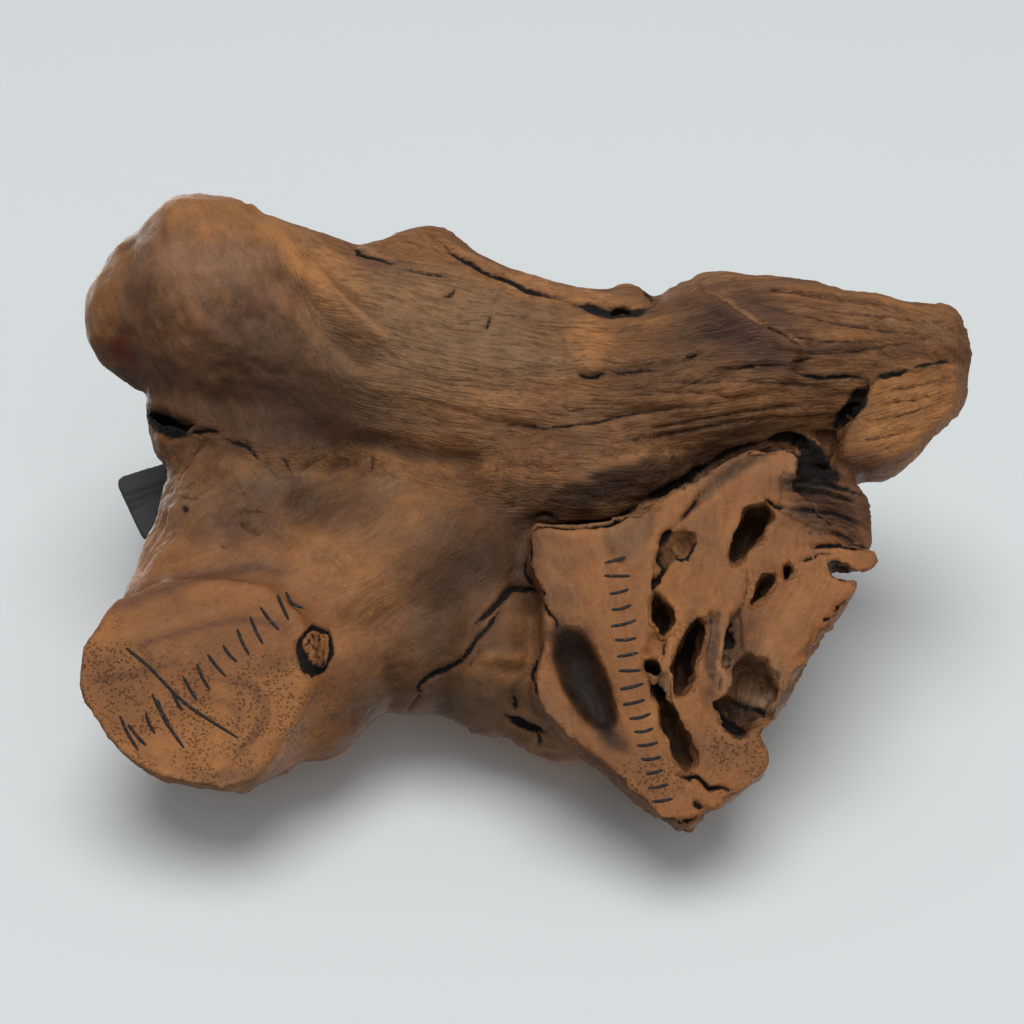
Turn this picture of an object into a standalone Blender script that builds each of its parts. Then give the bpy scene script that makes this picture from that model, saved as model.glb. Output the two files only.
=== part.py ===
"""A carved and painted songbird perched on a stand of driftwood.

Metres, +Z up. The stand lies along X and rests on its sanded feet at Z = 0. The
origin is the middle of the whole object's footprint, on the surface it stands on.
"""

import math

import bmesh
import bpy
import numpy as np
from mathutils import Matrix, Vector
from mathutils.bvhtree import BVHTree

MM = 0.001

# Overall sizes of the driftwood stand
STAND_LENGTH = 178 * MM
STAND_WIDTH = 126 * MM
STAND_HEIGHT = 48 * MM

# The stand's lobes are drawn in millimetres on a sheet of this size, and follow the sizes above
DRAWN_LENGTH = 178.0
DRAWN_WIDTH = 126.0
DRAWN_HEIGHT = 48.0

# Surface of the stand
WEATHERING_DEPTH = 1.6 * MM
WEATHERING_SCALE = 13 * MM
WEATHERING_OCTAVES = 2
STAND_VOXEL = 1.5 * MM
SMOOTHING = 0.5
STAND_TRIANGLES = 3700

# The bird's body, drawn in millimetres for this length from forehead to rump
BODY_LENGTH = 72 * MM
DRAWN_BODY = 72.0
BODY_VOXEL = 0.6 * MM
BODY_TRIANGLES = 2000

# The bird's tail, bill, eyes and legs
TAIL_LENGTH = 33 * MM
TAIL_TIP_WIDTH = 16.5 * MM
TAIL_ROOT_WIDTH = 8 * MM
FEATHER_PAIRS = 4
FEATHER_WIDTH = 4.2 * MM
FEATHER_THICKNESS = 1.2 * MM
FEATHER_STEP = 0.42 * MM
FEATHER_SHAPE = ((0, 0.3), (0.6, 0.45), (0.93, 0.5), (0.985, 0.4), (1, 0.15))
TAIL_DROOP = math.radians(5)
BILL_LENGTH = 11 * MM
BILL_WIDTH = 6 * MM
BILL_DEPTH = 5.4 * MM
EYE_DIAMETER = 4.2 * MM
EYE_PROUD = 1.3 * MM
LEG_HEIGHT = 10 * MM
LEG_DIAMETER = 1.9 * MM
LEG_SEAT = 3 * MM
LEG_VOXEL = 0.34 * MM
LEG_TRIANGLES = 300
FRONT_TOES = 3
TOE_SPREAD = math.radians(30)
TOE_LENGTH = 9 * MM
HIND_TOE_LENGTH = 7 * MM
TOE_DIAMETER = 1.7 * MM
TOE_ARCH = 0.7 * MM
TOE_SHAPE = ((0, 0.9), (0.3, 1.0), (0.6, 0.9), (0.85, 0.75), (1, 0.5))
STANCE_WIDTH = 14 * MM

# Gap between one piece and the next, and the step by which a toe is lifted to keep it
SEAT_GAP = 0.3 * MM
LIFT_STEP = 0.05 * MM

# Where the bird stands on the drawn sheet, and the way that it faces
PERCH = (-36.4, -39.0)
HEADING = math.radians(-27)

# The bird's lobes, in millimetres from the perch, with X forward and Z up, on legs of this height
DRAWN_LEG = 10.0
BIRD_TRUNK = (
    (-29, 0, 18, 5.5, 3.6),
    (-23, 0, 20, 8.5, 7.6),
    (-13, 0, 23.5, 12.3, 12),
    (-2, 0, 28.5, 15.2, 16),
    (9, 0, 34, 15.3, 16.2),
    (19, 0, 40, 13.6, 14),
    (27, 0, 46, 12, 12),
)
HEAD = ((30, 0, 50.5), (13, 12.2, 11.8), 0)
THIGH = ((0.5, 0, 16.8), (7, 4.2, 8), 0)
WING = (
    (13, 11.6, 38.5, 2.8, 7),
    (4, 13.9, 34.5, 3.2, 9.4),
    (-8, 12.9, 29.5, 3, 8.6),
    (-19, 9.4, 25.5, 2.6, 6.2),
    (-29, 6.2, 22.8, 2.1, 3.6),
    (-37, 4.2, 21.2, 1.5, 1.9),
)
# Ridges of folded feathers along each wing: their heights as shares of the wing's half depth, their
# thickness in millimetres, and the lobe of small feathers that covers their roots
WING_RIDGES = (-0.72, -0.36, 0.0, 0.36, 0.72)
RIDGE_HALF_WIDTH = 1.0
RIDGE_SHARE = 0.16
COVERTS = (
    (12, 12.6, 38, 2.9, 6.6),
    (5, 15.2, 35.2, 3, 8),
    (-3, 15.2, 32.4, 2.4, 7),
    (-6, 14.6, 31.2, 1.8, 5),
)
TAIL_ROOT = (-24, 0, 18.4)
BILL_ROOT = (40, 0, 49)
BILL_DIP = 1.5
BILL_SHAPE = ((0, 1.0), (0.35, 0.8), (0.75, 0.4), (1.0, 0.2))
EYE = (35.6, 52.6)

# Lobes of the stand: x, y, z along the middle, then the half width and the half depth
MAIN_LIMB = (
    (-74.8, -48.2, 23, 16.5, 15),
    (-69.5, -48.2, 23, 21.2, 20),
    (-62, -47.8, 23, 24.4, 23),
    (-52, -44, 24, 24.5, 23),
    (-40, -39.8, 25, 23.4, 21),
    (-26, -36.5, 25, 25, 20),
    (-12, -34.2, 25, 26, 19.5),
    (4, -31, 25, 23.5, 19),
    (20, -30.5, 24, 20, 18.5),
    (36, -32.5, 23, 19.6, 18),
    (50, -35.2, 22, 19, 17.5),
    (64, -35.7, 22, 17, 16.5),
    (76, -35, 22, 14.6, 14.5),
    (83.4, -35, 22, 13, 12),
)
LEFT_LEG = (
    (-16, -8, 28, 19, 17),
    (-30, 6, 24, 18, 17),
    (-42, 18, 20, 17, 17),
    (-52, 26, 18, 15, 16),
)
LEFT_WEB = (
    (-47, -30, 27, 20, 18),
    (-49, -16, 27, 19.5, 17),
    (-51.5, -4, 25, 19, 16.5),
    (-55.5, 8, 22, 19, 17),
    (-57, 20, 20, 19, 17),
)
TOP_RIDGE = (
    (-31.7, -57.6, 21, 2.5, 3),
    (-24.8, -58.4, 20, 4, 5),
    (-16.6, -59.4, 19, 4.5, 5),
    (-7.5, -54.6, 18, 4, 4.5),
    (5.6, -47.9, 18, 3.8, 4.5),
    (13.7, -45.6, 18, 4, 4.5),
    (25.5, -46.6, 18, 4.2, 4.2),
)
BACK_STUB = (
    (30, -8, 34, 13, 12),
    (40, 4, 40, 10, 9),
    (47, 13, 43, 7.5, 6.5),
)

# Strands of old root that run over the top, towards the perch
STRANDS = (
    ((30, 30, 27, 8, 8), (20, 16, 36, 9, 7), (6, 2, 41, 9, 6), (-8, -12, 42, 8, 6), (-20, -24, 40, 6, 5)),
    ((-56, 24, 24, 9, 9), (-46, 10, 36, 9, 7), (-38, -6, 40.5, 9, 6), (-34, -20, 40, 8, 6)),
    ((72, -33, 29, 7, 8), (40, -30, 36, 8, 8), (16, -29, 39, 8, 6), (-12, -31, 39, 7, 6)),
    ((8, 36, 24, 7, 8), (0, 24, 37, 8, 7), (-10, 10, 42, 8, 6), (-22, -4, 41, 7, 6)),
)

# Facets round a swelling and from its top to its bottom
SWELLING_SIDES = 20
SWELLING_RINGS = 14

# A limb's rounded end: its length as a share of the half width, and its rings, in degrees
END_LENGTH = 0.8
END_RINGS = (80, 60, 40, 20)

# Outlines on the standing plane, and how each changes with height: z, share, shift in x and y
FOOT_OUTLINE = (
    (-79, 30.4), (-78.5, 25), (-75.1, 18.1), (-66.8, 13.5), (-56, 11.6), (-46, 13.0),
    (-39, 18), (-35.6, 26), (-37, 34), (-40, 41.5), (-45.5, 48.5), (-51.2, 51.3),
    (-58, 50.6), (-64.7, 48.1), (-70.5, 44), (-75.1, 38.6), (-77.6, 34.4),
)
FOOT_LEVELS = (
    (-2, 1.0, 0, 0),
    (4, 1.01, 0.3, 0.4),
    (12, 0.98, 2.5, 0),
    (22, 0.86, 8, -6),
    (32, 0.66, 15, -13),
    (38, 0.4, 20, -18),
)
STUMP_OUTLINE = (
    (3.4, 2.6), (8.9, 2.4), (17, 1.6), (25.6, -2.9), (35, -6.5), (42.6, -11.9), (52.9, -12.5),
    (54.6, -9.6), (51.6, -4.2), (56.2, -1.3), (60, 3), (59, 7.5), (59.9, 10), (63.4, 14.4),
    (59.2, 20.2), (52.7, 29.7), (49.4, 34.4), (45.5, 40.6), (46.2, 46.9), (41.3, 51.2),
    (33.8, 55), (33.9, 57.3), (31.6, 58.5), (26.7, 55.9), (19, 48.6), (10.8, 42),
    (3.6, 34), (5.6, 25), (6, 14.7), (3.3, 9.1),
)
STUMP_LEVELS = (
    (-2, 1.0, 0, 0),
    (8, 1.015, 0.2, 0.4),
    (20, 0.95, -1.5, -1.5),
    (32, 0.8, -5, -5),
    (42, 0.55, -9, -9),
)
LAYERED_OUTLINE = (
    (46, -12), (53.3, -10.2), (60.9, -9.2), (64.8, -7.4), (67.7, -4.8), (68.3, 1), (67.6, 5.4),
    (60, 7.5), (50, 4),
)
LAYERED_LEVELS = ((4.5, 0.94, -1, 0), (7, 1.0, 0, 0), (20, 0.98, 0, 0), (30, 0.8, -4, -2))
TONGUE_OUTLINE = (
    (52, 11), (55.3, 7), (62.3, 6.3), (65.6, 6.4), (67.1, 7.8), (66.8, 11.3), (62, 10.2), (58.1, 10.2),
)
TONGUE_LEVELS = ((-1, 1.0, 0, 0), (4, 1.0, 0, 0), (7, 0.85, -1, 0))
TIP_OUTLINE = (
    (70, -28), (79.9, -32), (87.3, -31.4), (87.5, -24.8), (84.9, -20), (78.4, -14),
    (74.2, -10.7), (68.2, -8.8), (63.5, -9.6), (61.1, -10.8), (62.4, -16.2), (65, -21.2),
)
TIP_LEVELS = ((6, 0.9, 0, -1), (9, 1.0, 0, 0), (22, 0.98, 0, -1), (33, 0.75, 0, -6))

# Rounded swellings: centre, then the half sizes in x, y and z, and the turn in degrees
SWELLINGS = (
    ((-20, 6, 27), (30, 22, 20.5), 0),
    ((-3.5, 23, 23), (12, 16, 18), 0),
    ((-18, 22, 22), (14, 13, 14), 0),
    ((8, 33.5, 22), (13, 9.5, 14), 22),
    ((-36, 27, 18), (17, 12.5, 13), -18),
    ((13, -13.5, 25.5), (28, 16, 19), -8),
    ((-12, -40, 38), (16, 10, 9), 10),
    ((-60, -26, 25), (14, 14, 15), 0),
    ((-40, 34, 16), (13, 10.5, 12), 0),
    ((46, -50.5, 20), (13, 4.4, 6), 5),
)

# Hollows in the sanded face: depth, then the outline at its mouth
HOLLOWS = (
    (2.6, ((27.3, 6.6), (28.4, 4.2), (30.7, 2.9), (33.6, 3.8), (34.1, 5.7), (32.4, 8.2), (29.8, 8.9),
           (27.4, 10.4), (26.6, 14.6), (25.6, 15), (26.2, 10))),
    (9, ((26, 14.4), (27.3, 15), (28.7, 17.2), (30, 18.8), (29.9, 21.2), (28.6, 23.6), (27, 22.9),
         (25.4, 21.2), (25.1, 18.4))),
    (12, ((23.1, 27.7), (25.1, 27.1), (27.4, 27.7), (27, 30.1), (25.5, 31.2), (24.1, 30.1))),
    (8, ((25, 32), (26.4, 32.2), (28.7, 35.5), (30.3, 38.4), (31.6, 41.7), (33.3, 46.5), (31.5, 47.9),
         (29, 45.6), (27.7, 41.3), (26.3, 36.4))),
    (12, ((35.8, 18.8), (35.2, 22.7), (34.2, 26.6), (32.8, 31.5), (31.3, 34.1), (29.6, 34.4),
          (28.8, 31.5), (29.4, 26.6), (31, 23.3), (33.6, 19.8))),
    (2.5, ((40.9, 19.6), (42, 19.9), (40.8, 24), (39.4, 29), (38.6, 34), (37.6, 33.2), (38.1, 28.1),
           (39.3, 23.3))),
    (7, ((42.2, 26.2), (44.5, 27.1), (46.5, 27.3), (47.3, 29.5), (48.7, 30.8), (48.6, 34.4),
         (47.1, 36.4), (47.6, 37.9), (42.6, 40.6), (41.2, 41.7), (39.2, 40.8), (37, 37), (36.8, 35.4),
         (39.4, 34.8), (40.1, 31.5), (40.2, 28.4))),
    (11, ((43.7, -1), (46.5, -1.7), (48.4, -1), (47.9, 2.1), (45.2, 5.7), (41.6, 9.7), (40.3, 10),
          (40.4, 6.6), (41.8, 3))),
    (8, ((44.2, 14.7), (46.1, 11.7), (47.9, 11.2), (48.6, 12.3), (47.8, 14.7), (44.8, 17.7),
         (43.3, 17.9))),
    (8, ((49.3, 10.2), (51, 9.5), (52.4, 9.7), (51.4, 12.7), (49.9, 12.7))),
    (3.2, ((8, 21.6), (12.4, 21.2), (15.8, 26.6), (17.2, 31.5), (18.6, 37), (20, 40.8), (17.1, 41.7),
           (13.3, 38.4), (9.9, 33), (7.8, 28.1), (7.3, 25.1))),
    (40, ((58.1, 11.2), (58.9, 9.6), (60.7, 9.9), (65, 11.4), (70, 12.2), (70, 15.4), (63.6, 14.2),
          (61.6, 13.8))),
)
# How a hollow narrows inwards: share of its depth, share of its outline
HOLLOW_LEVELS = ((0, 1.0), (0.6, 0.86), (1, 0.5))

# Splits along the grain: route in x and y, height of the surface there, width, depth
SPLITS = (
    (((1.2, 2.4), (5.6, 1.2), (10.2, 1.6), (17.9, 0.8), (23.9, -1.9), (32.2, -6.7), (42.1, -12.3),
      (50, -14.3), (56.1, -14.5), (60.8, -11.6)), 2, 1.9, 13),
    (((22, -0.4), (26, -3), (31, -6)), 2, 3.2, 12),
    (((74, -28.4), (68.7, -27.6), (66.7, -24.4), (64.1, -21.6), (61.7, -19), (58.6, -14.8)), 6, 2.6, 12),
    (((52, -31), (58, -28.8), (64.4, -28.6), (70, -28.2), (76, -29.4), (84, -31.2)), 5, 1.1, 5),
    (((1.2, 2.4), (2.3, 6), (3.1, 11), (4.8, 14.7), (6.8, 18.4), (8.4, 21.4)), 3, 1.5, 8),
    (((4.8, 14.3), (2.2, 13.7), (-1.1, 13.9), (-3.9, 16.4), (-5.9, 19.6), (-7.6, 23.2), (-10.7, 27.2),
      (-14.5, 29.5), (-16.9, 31.5), (-18.9, 35)), 6, 1.6, 7),
    (((5.1, 22.6), (4.3, 26), (3.3, 29.6), (2.4, 32.4), (3.4, 36)), 4, 1.2, 5),
    (((-1.2, 34.6), (-0.2, 37.2), (3.7, 38.9), (7.4, 40.6)), 10, 2.2, 8),
    (((-76, -28.5), (-71, -24.5), (-66, -21.6), (-61.5, -20.4)), 17, 3.8, 12),
    (((11, -44.2), (18, -43.2), (24, -42.8), (28, -42.8)), 9, 3.2, 9),
    (((-17, -57), (-11, -54), (-5, -49.6), (3, -45.8), (11, -43.6)), 12, 1.3, 8),
    (((29.5, 49.4), (32.2, 49.2), (34.4, 50.6), (36.8, 51.4), (40, 53.4)), 2, 1.3, 8),
)
SPLIT_REACH = 12
SPLIT_ROOT = 0.3
SPLIT_WAVE = 0.25
SPLIT_WAVE_TURN = 2.6

PAINT = {
    "driftwood": ((0.30, 0.155, 0.07), 0.75, 0.0),
    "bird_body": ((0.33, 0.32, 0.31), 0.6, 0.0),
    "left_leg": ((0.05, 0.045, 0.04), 0.45, 0.4),
    "right_leg": ((0.05, 0.045, 0.04), 0.45, 0.4),
    "left_eye": ((0.01, 0.008, 0.006), 0.05, 0.0),
    "right_eye": ((0.01, 0.008, 0.006), 0.05, 0.0),
}


def clear_scene():
    for thing in list(bpy.data.objects):
        bpy.data.objects.remove(thing)


def material(name):
    colour, roughness, metallic = PAINT[name]
    made = bpy.data.materials.new(name)
    made.use_nodes = True
    shader = made.node_tree.nodes["Principled BSDF"]
    shader.inputs["Base Color"].default_value = (*colour, 1)
    shader.inputs["Roughness"].default_value = roughness
    shader.inputs["Metallic"].default_value = metallic
    return made


def add_object(name, bm, parent):
    """A new object made from a bmesh, with its faces turned outwards."""
    bmesh.ops.recalc_face_normals(bm, faces=bm.faces)
    mesh = bpy.data.meshes.new(name)
    bm.to_mesh(mesh)
    bm.free()
    made = bpy.data.objects.new(name, mesh)
    bpy.context.scene.collection.objects.link(made)
    made.parent = parent
    if name in PAINT:
        mesh.materials.append(material(name))
    return made


def add_empty(name, parent=None):
    made = bpy.data.objects.new(name, None)
    bpy.context.scene.collection.objects.link(made)
    made.parent = parent
    return made


def as_cutter(thing, collection):
    """Marks an object as a cutting tool, which is not a piece of the model."""
    thing.hide_render = True
    thing.display_type = "WIRE"
    bpy.context.scene.collection.objects.unlink(thing)
    collection.objects.link(thing)


def add_collection(name):
    made = bpy.data.collections.new(name)
    bpy.context.scene.collection.children.link(made)
    return made


def smooth_rows(rows, steps):
    """Rows of numbers joined by a Catmull-Rom curve, with steps points to each span."""
    rows = np.array(rows, float)
    padded = np.vstack([2 * rows[0] - rows[1], rows, 2 * rows[-1] - rows[-2]])
    out = []
    for i in range(1, len(padded) - 2):
        before, start, end, after = padded[i - 1 : i + 3]
        for t in np.arange(steps) / steps:
            out.append(
                0.5
                * (
                    2 * start
                    + (end - before) * t
                    + (2 * before - 5 * start + 4 * end - after) * t**2
                    + (3 * start - 3 * end + after - before) * t**3
                )
            )
    out.append(rows[-1])
    return np.array(out)


def skin_rings(bm, rings):
    """Faces between rings of as many points each, and one face over each end."""
    loops = [[bm.verts.new(point) for point in ring] for ring in rings]
    count = len(loops[0])
    for low, high in zip(loops, loops[1:]):
        for i in range(count):
            j = (i + 1) % count
            bm.faces.new((low[i], low[j], high[j], high[i]))
    bm.faces.new(loops[0][::-1])
    bm.faces.new(loops[-1])


def limb(bm, stations, sides=16, steps=4):
    """A tapering limb with rounded ends. A station is x, y, z, half width, half depth."""
    rows = smooth_rows(stations, steps)
    along = np.gradient(rows[:, :3], axis=0)
    along /= np.linalg.norm(along, axis=1)[:, None]
    dome = np.sin(np.radians(END_RINGS))
    first, last = rows[0], rows[-1]
    placed = [(first, along[0], -rise) for rise in dome]
    placed += [(row, way, 0.0) for row, way in zip(rows, along)]
    placed += [(last, along[-1], rise) for rise in dome[::-1]]
    rings = []
    for row, way, out in placed:
        across = np.cross(way, (0, 0, 1))
        across /= np.linalg.norm(across)
        deep = np.cross(across, way)
        shrink = math.sqrt(1 - out**2)
        middle = row[:3] + way * out * END_LENGTH * min(row[3], row[4])
        turns = 2 * np.pi * np.arange(sides) / sides
        rings.append(
            [
                Vector(middle + shrink * (row[3] * math.cos(t) * across + row[4] * math.sin(t) * deep))
                for t in turns
            ]
        )
    skin_rings(bm, rings)


def trunk(bm, outline, levels):
    """An outline carried up through levels, each with its own share and shift."""
    flat = np.array(outline, float)
    centre = flat.mean(axis=0)
    rings = []
    for z, share, shift_x, shift_y in levels:
        placed = centre + (flat - centre) * share + (shift_x, shift_y)
        rings.append([Vector((x, y, z)) for x, y in placed])
    skin_rings(bm, rings)


def swelling(bm, centre, half_sizes, turn):
    place = (
        Matrix.Translation(centre)
        @ Matrix.Rotation(math.radians(turn), 4, "Z")
        @ Matrix.Diagonal((*half_sizes, 1))
    )
    bmesh.ops.create_uvsphere(
        bm, u_segments=SWELLING_SIDES, v_segments=SWELLING_RINGS, radius=1, matrix=place
    )


def hollow(bm, depth, outline):
    """A tool for a worn hollow, which narrows as it goes in."""
    levels = [(-depth, 1.0, 0, 0)]
    levels += [(deep * depth, share, 0, 0) for deep, share in HOLLOW_LEVELS]
    trunk(bm, outline, levels)


def split(bm, route, surface, width, depth):
    """A tool for a split: a wedge along a route, closing towards its ends and its root."""
    rows = smooth_rows(route, 2)
    along = np.gradient(rows, axis=0)
    along /= np.linalg.norm(along, axis=1)[:, None]
    across = np.stack([-along[:, 1], along[:, 0]], axis=1)
    steps = np.arange(len(rows))
    share = np.sin(np.pi * (steps + 1) / (len(rows) + 1))
    share *= 1 + SPLIT_WAVE * np.sin(SPLIT_WAVE_TURN * steps)
    rings = []
    for point, side, part in zip(rows, across, share):
        half = side * width * part / 2
        low, high = surface - SPLIT_REACH, surface + depth * (1 + part) / 2
        root = SPLIT_ROOT * half
        corners = ((point + half, low), (point - half, low), (point - root, high), (point + root, high))
        rings.append([Vector((*flat, z)) for flat, z in corners])
    skin_rings(bm, rings)


def to_stand(bm):
    """Brings what was drawn in millimetres on the sheet to the stand's real size."""
    size = Matrix.Diagonal(
        (STAND_LENGTH / DRAWN_LENGTH, STAND_WIDTH / DRAWN_WIDTH, STAND_HEIGHT / DRAWN_HEIGHT, 1)
    )
    bmesh.ops.transform(bm, matrix=size, verts=bm.verts)


def one_skin(thing, voxel, passes):
    """Joins an object's overlapping shapes into one skin, and smooths it."""
    skin = thing.modifiers.new("One skin", "REMESH")
    skin.mode = "VOXEL"
    skin.voxel_size = voxel
    skin.use_smooth_shade = True
    soften = thing.modifiers.new("Soften", "SMOOTH")
    soften.factor = SMOOTHING
    soften.iterations = passes


def thin(thing, triangles):
    """Thins an object's mesh to about so many triangles."""
    bpy.context.view_layer.update()
    graph = bpy.context.evaluated_depsgraph_get()
    whole = thing.evaluated_get(graph).to_mesh()
    whole.calc_loop_triangles()
    count = len(whole.loop_triangles)
    fewer = thing.modifiers.new("Fewer faces", "DECIMATE")
    fewer.ratio = min(1.0, triangles / count)


def boolean(thing, name, operation, tools):
    """Joins a collection of shapes to an object, or cuts them from it."""
    cut = thing.modifiers.new(name, "BOOLEAN")
    cut.operation = operation
    cut.solver = "EXACT"
    cut.operand_type = "COLLECTION"
    cut.collection = tools


def weather(thing):
    """The gentle lumps that water leaves on old wood."""
    texture = bpy.data.textures.new("Weathering", "CLOUDS")
    texture.noise_scale = WEATHERING_SCALE
    texture.noise_depth = WEATHERING_OCTAVES
    lumps = thing.modifiers.new("Weathering", "DISPLACE")
    lumps.texture = texture
    lumps.texture_coords = "LOCAL"
    lumps.strength = WEATHERING_DEPTH
    lumps.mid_level = 0.5


def make_stand(origin):
    bm = bmesh.new()
    for stations in (MAIN_LIMB, LEFT_LEG, LEFT_WEB, TOP_RIDGE, BACK_STUB, *STRANDS):
        limb(bm, stations)
    for outline, levels in (
        (FOOT_OUTLINE, FOOT_LEVELS),
        (STUMP_OUTLINE, STUMP_LEVELS),
        (LAYERED_OUTLINE, LAYERED_LEVELS),
        (TONGUE_OUTLINE, TONGUE_LEVELS),
        (TIP_OUTLINE, TIP_LEVELS),
    ):
        trunk(bm, outline, levels)
    for centre, half_sizes, turn in SWELLINGS:
        swelling(bm, centre, half_sizes, turn)
    to_stand(bm)
    stand = add_object("driftwood", bm, origin)
    one_skin(stand, STAND_VOXEL, 3)
    weather(stand)
    thin(stand, STAND_TRIANGLES)

    cuts = add_collection("Stand cuts")
    sole = bmesh.new()
    bmesh.ops.create_cube(sole, size=1)
    below = Matrix.Translation((0, 0, -STAND_HEIGHT / 2)) @ Matrix.Diagonal(
        (2 * STAND_LENGTH, 2 * STAND_WIDTH, STAND_HEIGHT, 1)
    )
    bmesh.ops.transform(sole, matrix=below, verts=sole.verts)
    as_cutter(add_object("Sanded plane", sole, origin), cuts)
    for number, shape in enumerate(HOLLOWS):
        tool = bmesh.new()
        hollow(tool, *shape)
        to_stand(tool)
        as_cutter(add_object(f"Hollow {number + 1}", tool, origin), cuts)
    for number, shape in enumerate(SPLITS):
        tool = bmesh.new()
        split(tool, *shape)
        to_stand(tool)
        as_cutter(add_object(f"Split {number + 1}", tool, origin), cuts)
    boolean(stand, "Feet, hollows and splits", "DIFFERENCE", cuts)
    return stand, cuts


def surface_of(thing):
    """A search tree of an object's evaluated surface, in world space."""
    bpy.context.view_layer.update()
    graph = bpy.context.evaluated_depsgraph_get()
    evaluated = thing.evaluated_get(graph)
    mesh = evaluated.to_mesh()
    points = [evaluated.matrix_world @ v.co for v in mesh.vertices]
    return BVHTree.FromPolygons(points, [tuple(p.vertices) for p in mesh.polygons])


def top_of(tree, x, y):
    """The highest point of a surface above x, y."""
    hit = tree.ray_cast(Vector((x, y, 4 * STAND_HEIGHT)), Vector((0, 0, -1)))[0]
    return hit.z if hit else 0.0


def bird_frame(tree):
    """Where the bird stands: its feet's height on the wood, and its heading."""
    x = PERCH[0] * STAND_LENGTH / DRAWN_LENGTH
    y = PERCH[1] * STAND_WIDTH / DRAWN_WIDTH
    turn = Matrix.Rotation(HEADING, 4, "Z")
    feet = [Vector((x, y, 0)) + turn @ Vector((0, side * STANCE_WIDTH / 2, 0)) for side in (1, -1)]
    level = sum(top_of(tree, foot.x, foot.y) for foot in feet) / 2
    return Matrix.Translation((x, y, level)) @ turn


def on_body(x, y, z):
    """A place drawn on the bird, at the body's real size and above its legs."""
    share = BODY_LENGTH / DRAWN_BODY
    return Vector((x * share, y * share, (z - DRAWN_LEG) * share + LEG_HEIGHT))


def grow_body(bm):
    """Brings what was drawn in millimetres to the body's real size, above its legs."""
    share = BODY_LENGTH / DRAWN_BODY
    place = Matrix.Translation((0, 0, LEG_HEIGHT - DRAWN_LEG * share)) @ Matrix.Scale(share, 4)
    bmesh.ops.transform(bm, matrix=place, verts=bm.verts)


def bill(bm):
    """A short cone, a little deeper than wide, that dips towards its point."""
    root = on_body(*BILL_ROOT)
    stations = []
    for share, thick in BILL_SHAPE:
        x = root.x + share * BILL_LENGTH
        z = root.z - share * BILL_DIP * MM
        stations.append((x, 0, z, thick * BILL_WIDTH / 2, thick * BILL_DEPTH / 2))
    limb(bm, stations, sides=12, steps=2)


def tail_feather(pair, side):
    """One flat feather with a squared, rounded tip, lower the further out it lies."""
    reach = TAIL_LENGTH - on_body(*TAIL_ROOT).x + on_body(*BIRD_TRUNK[0][:3]).x
    tip_pitch = (TAIL_TIP_WIDTH - FEATHER_WIDTH) / (2 * FEATHER_PAIRS - 1)
    root_width = 2 * FEATHER_SHAPE[0][1] * FEATHER_WIDTH
    root_pitch = (TAIL_ROOT_WIDTH - root_width) / (2 * FEATHER_PAIRS - 1)
    root_y = side * (pair + 0.5) * root_pitch
    tip_y = side * (pair + 0.5) * tip_pitch
    outline = [(share * reach, half * FEATHER_WIDTH) for share, half in FEATHER_SHAPE]
    outline += [(x, -y) for x, y in outline[::-1]]
    bm = bmesh.new()
    thick = FEATHER_THICKNESS / 2
    trunk(bm, outline, ((-thick, 1, 0, 0), (thick, 1, 0, 0)))
    fan = math.atan2(tip_y - root_y, reach)
    place = (
        Matrix.Translation(on_body(*TAIL_ROOT) + Vector((0, root_y, -pair * FEATHER_STEP)))
        @ Matrix.Rotation(math.pi - fan, 4, "Z")
        @ Matrix.Rotation(TAIL_DROOP, 4, "Y")
    )
    bmesh.ops.transform(bm, matrix=place, verts=bm.verts)
    return bm


def eye_place(side):
    """The middle of an eye, so that it stands proud of the head's side."""
    (hx, _, hz), (rx, ry, rz), _ = HEAD
    x, z = EYE
    side_y = ry * math.sqrt(1 - ((x - hx) / rx) ** 2 - ((z - hz) / rz) ** 2)
    place = on_body(x, side_y, z)
    place.y += EYE_PROUD - EYE_DIAMETER / 2
    place.y *= side
    return place


def ball(radius, centre, segments=12, rings=8):
    bm = bmesh.new()
    bmesh.ops.create_uvsphere(
        bm, u_segments=segments, v_segments=rings, radius=radius, matrix=Matrix.Translation(centre)
    )
    return bm


def rod(bm, radius, foot, head, sides=12):
    """An upright round rod between two points, one above the other."""
    middle = (Vector(foot) + Vector(head)) / 2
    bmesh.ops.create_cone(
        bm,
        cap_ends=True,
        segments=sides,
        radius1=radius,
        radius2=radius,
        depth=head[2] - foot[2],
        matrix=Matrix.Translation(middle),
    )


def wing(bm, side):
    """A folded wing: its lobe, the ridges of its long feathers, and the small ones over their roots."""
    shapes = [WING, COVERTS]
    for height in WING_RIDGES:
        out = math.sqrt(1 - height**2)
        shapes.append(
            [
                (x, y + out * wide, z + height * deep, RIDGE_HALF_WIDTH, RIDGE_SHARE * deep)
                for x, y, z, wide, deep in WING[1:]
            ]
        )
    for shape in shapes:
        limb(bm, [(x, side * y, z, wide, deep) for x, y, z, wide, deep in shape], sides=12)


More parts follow.
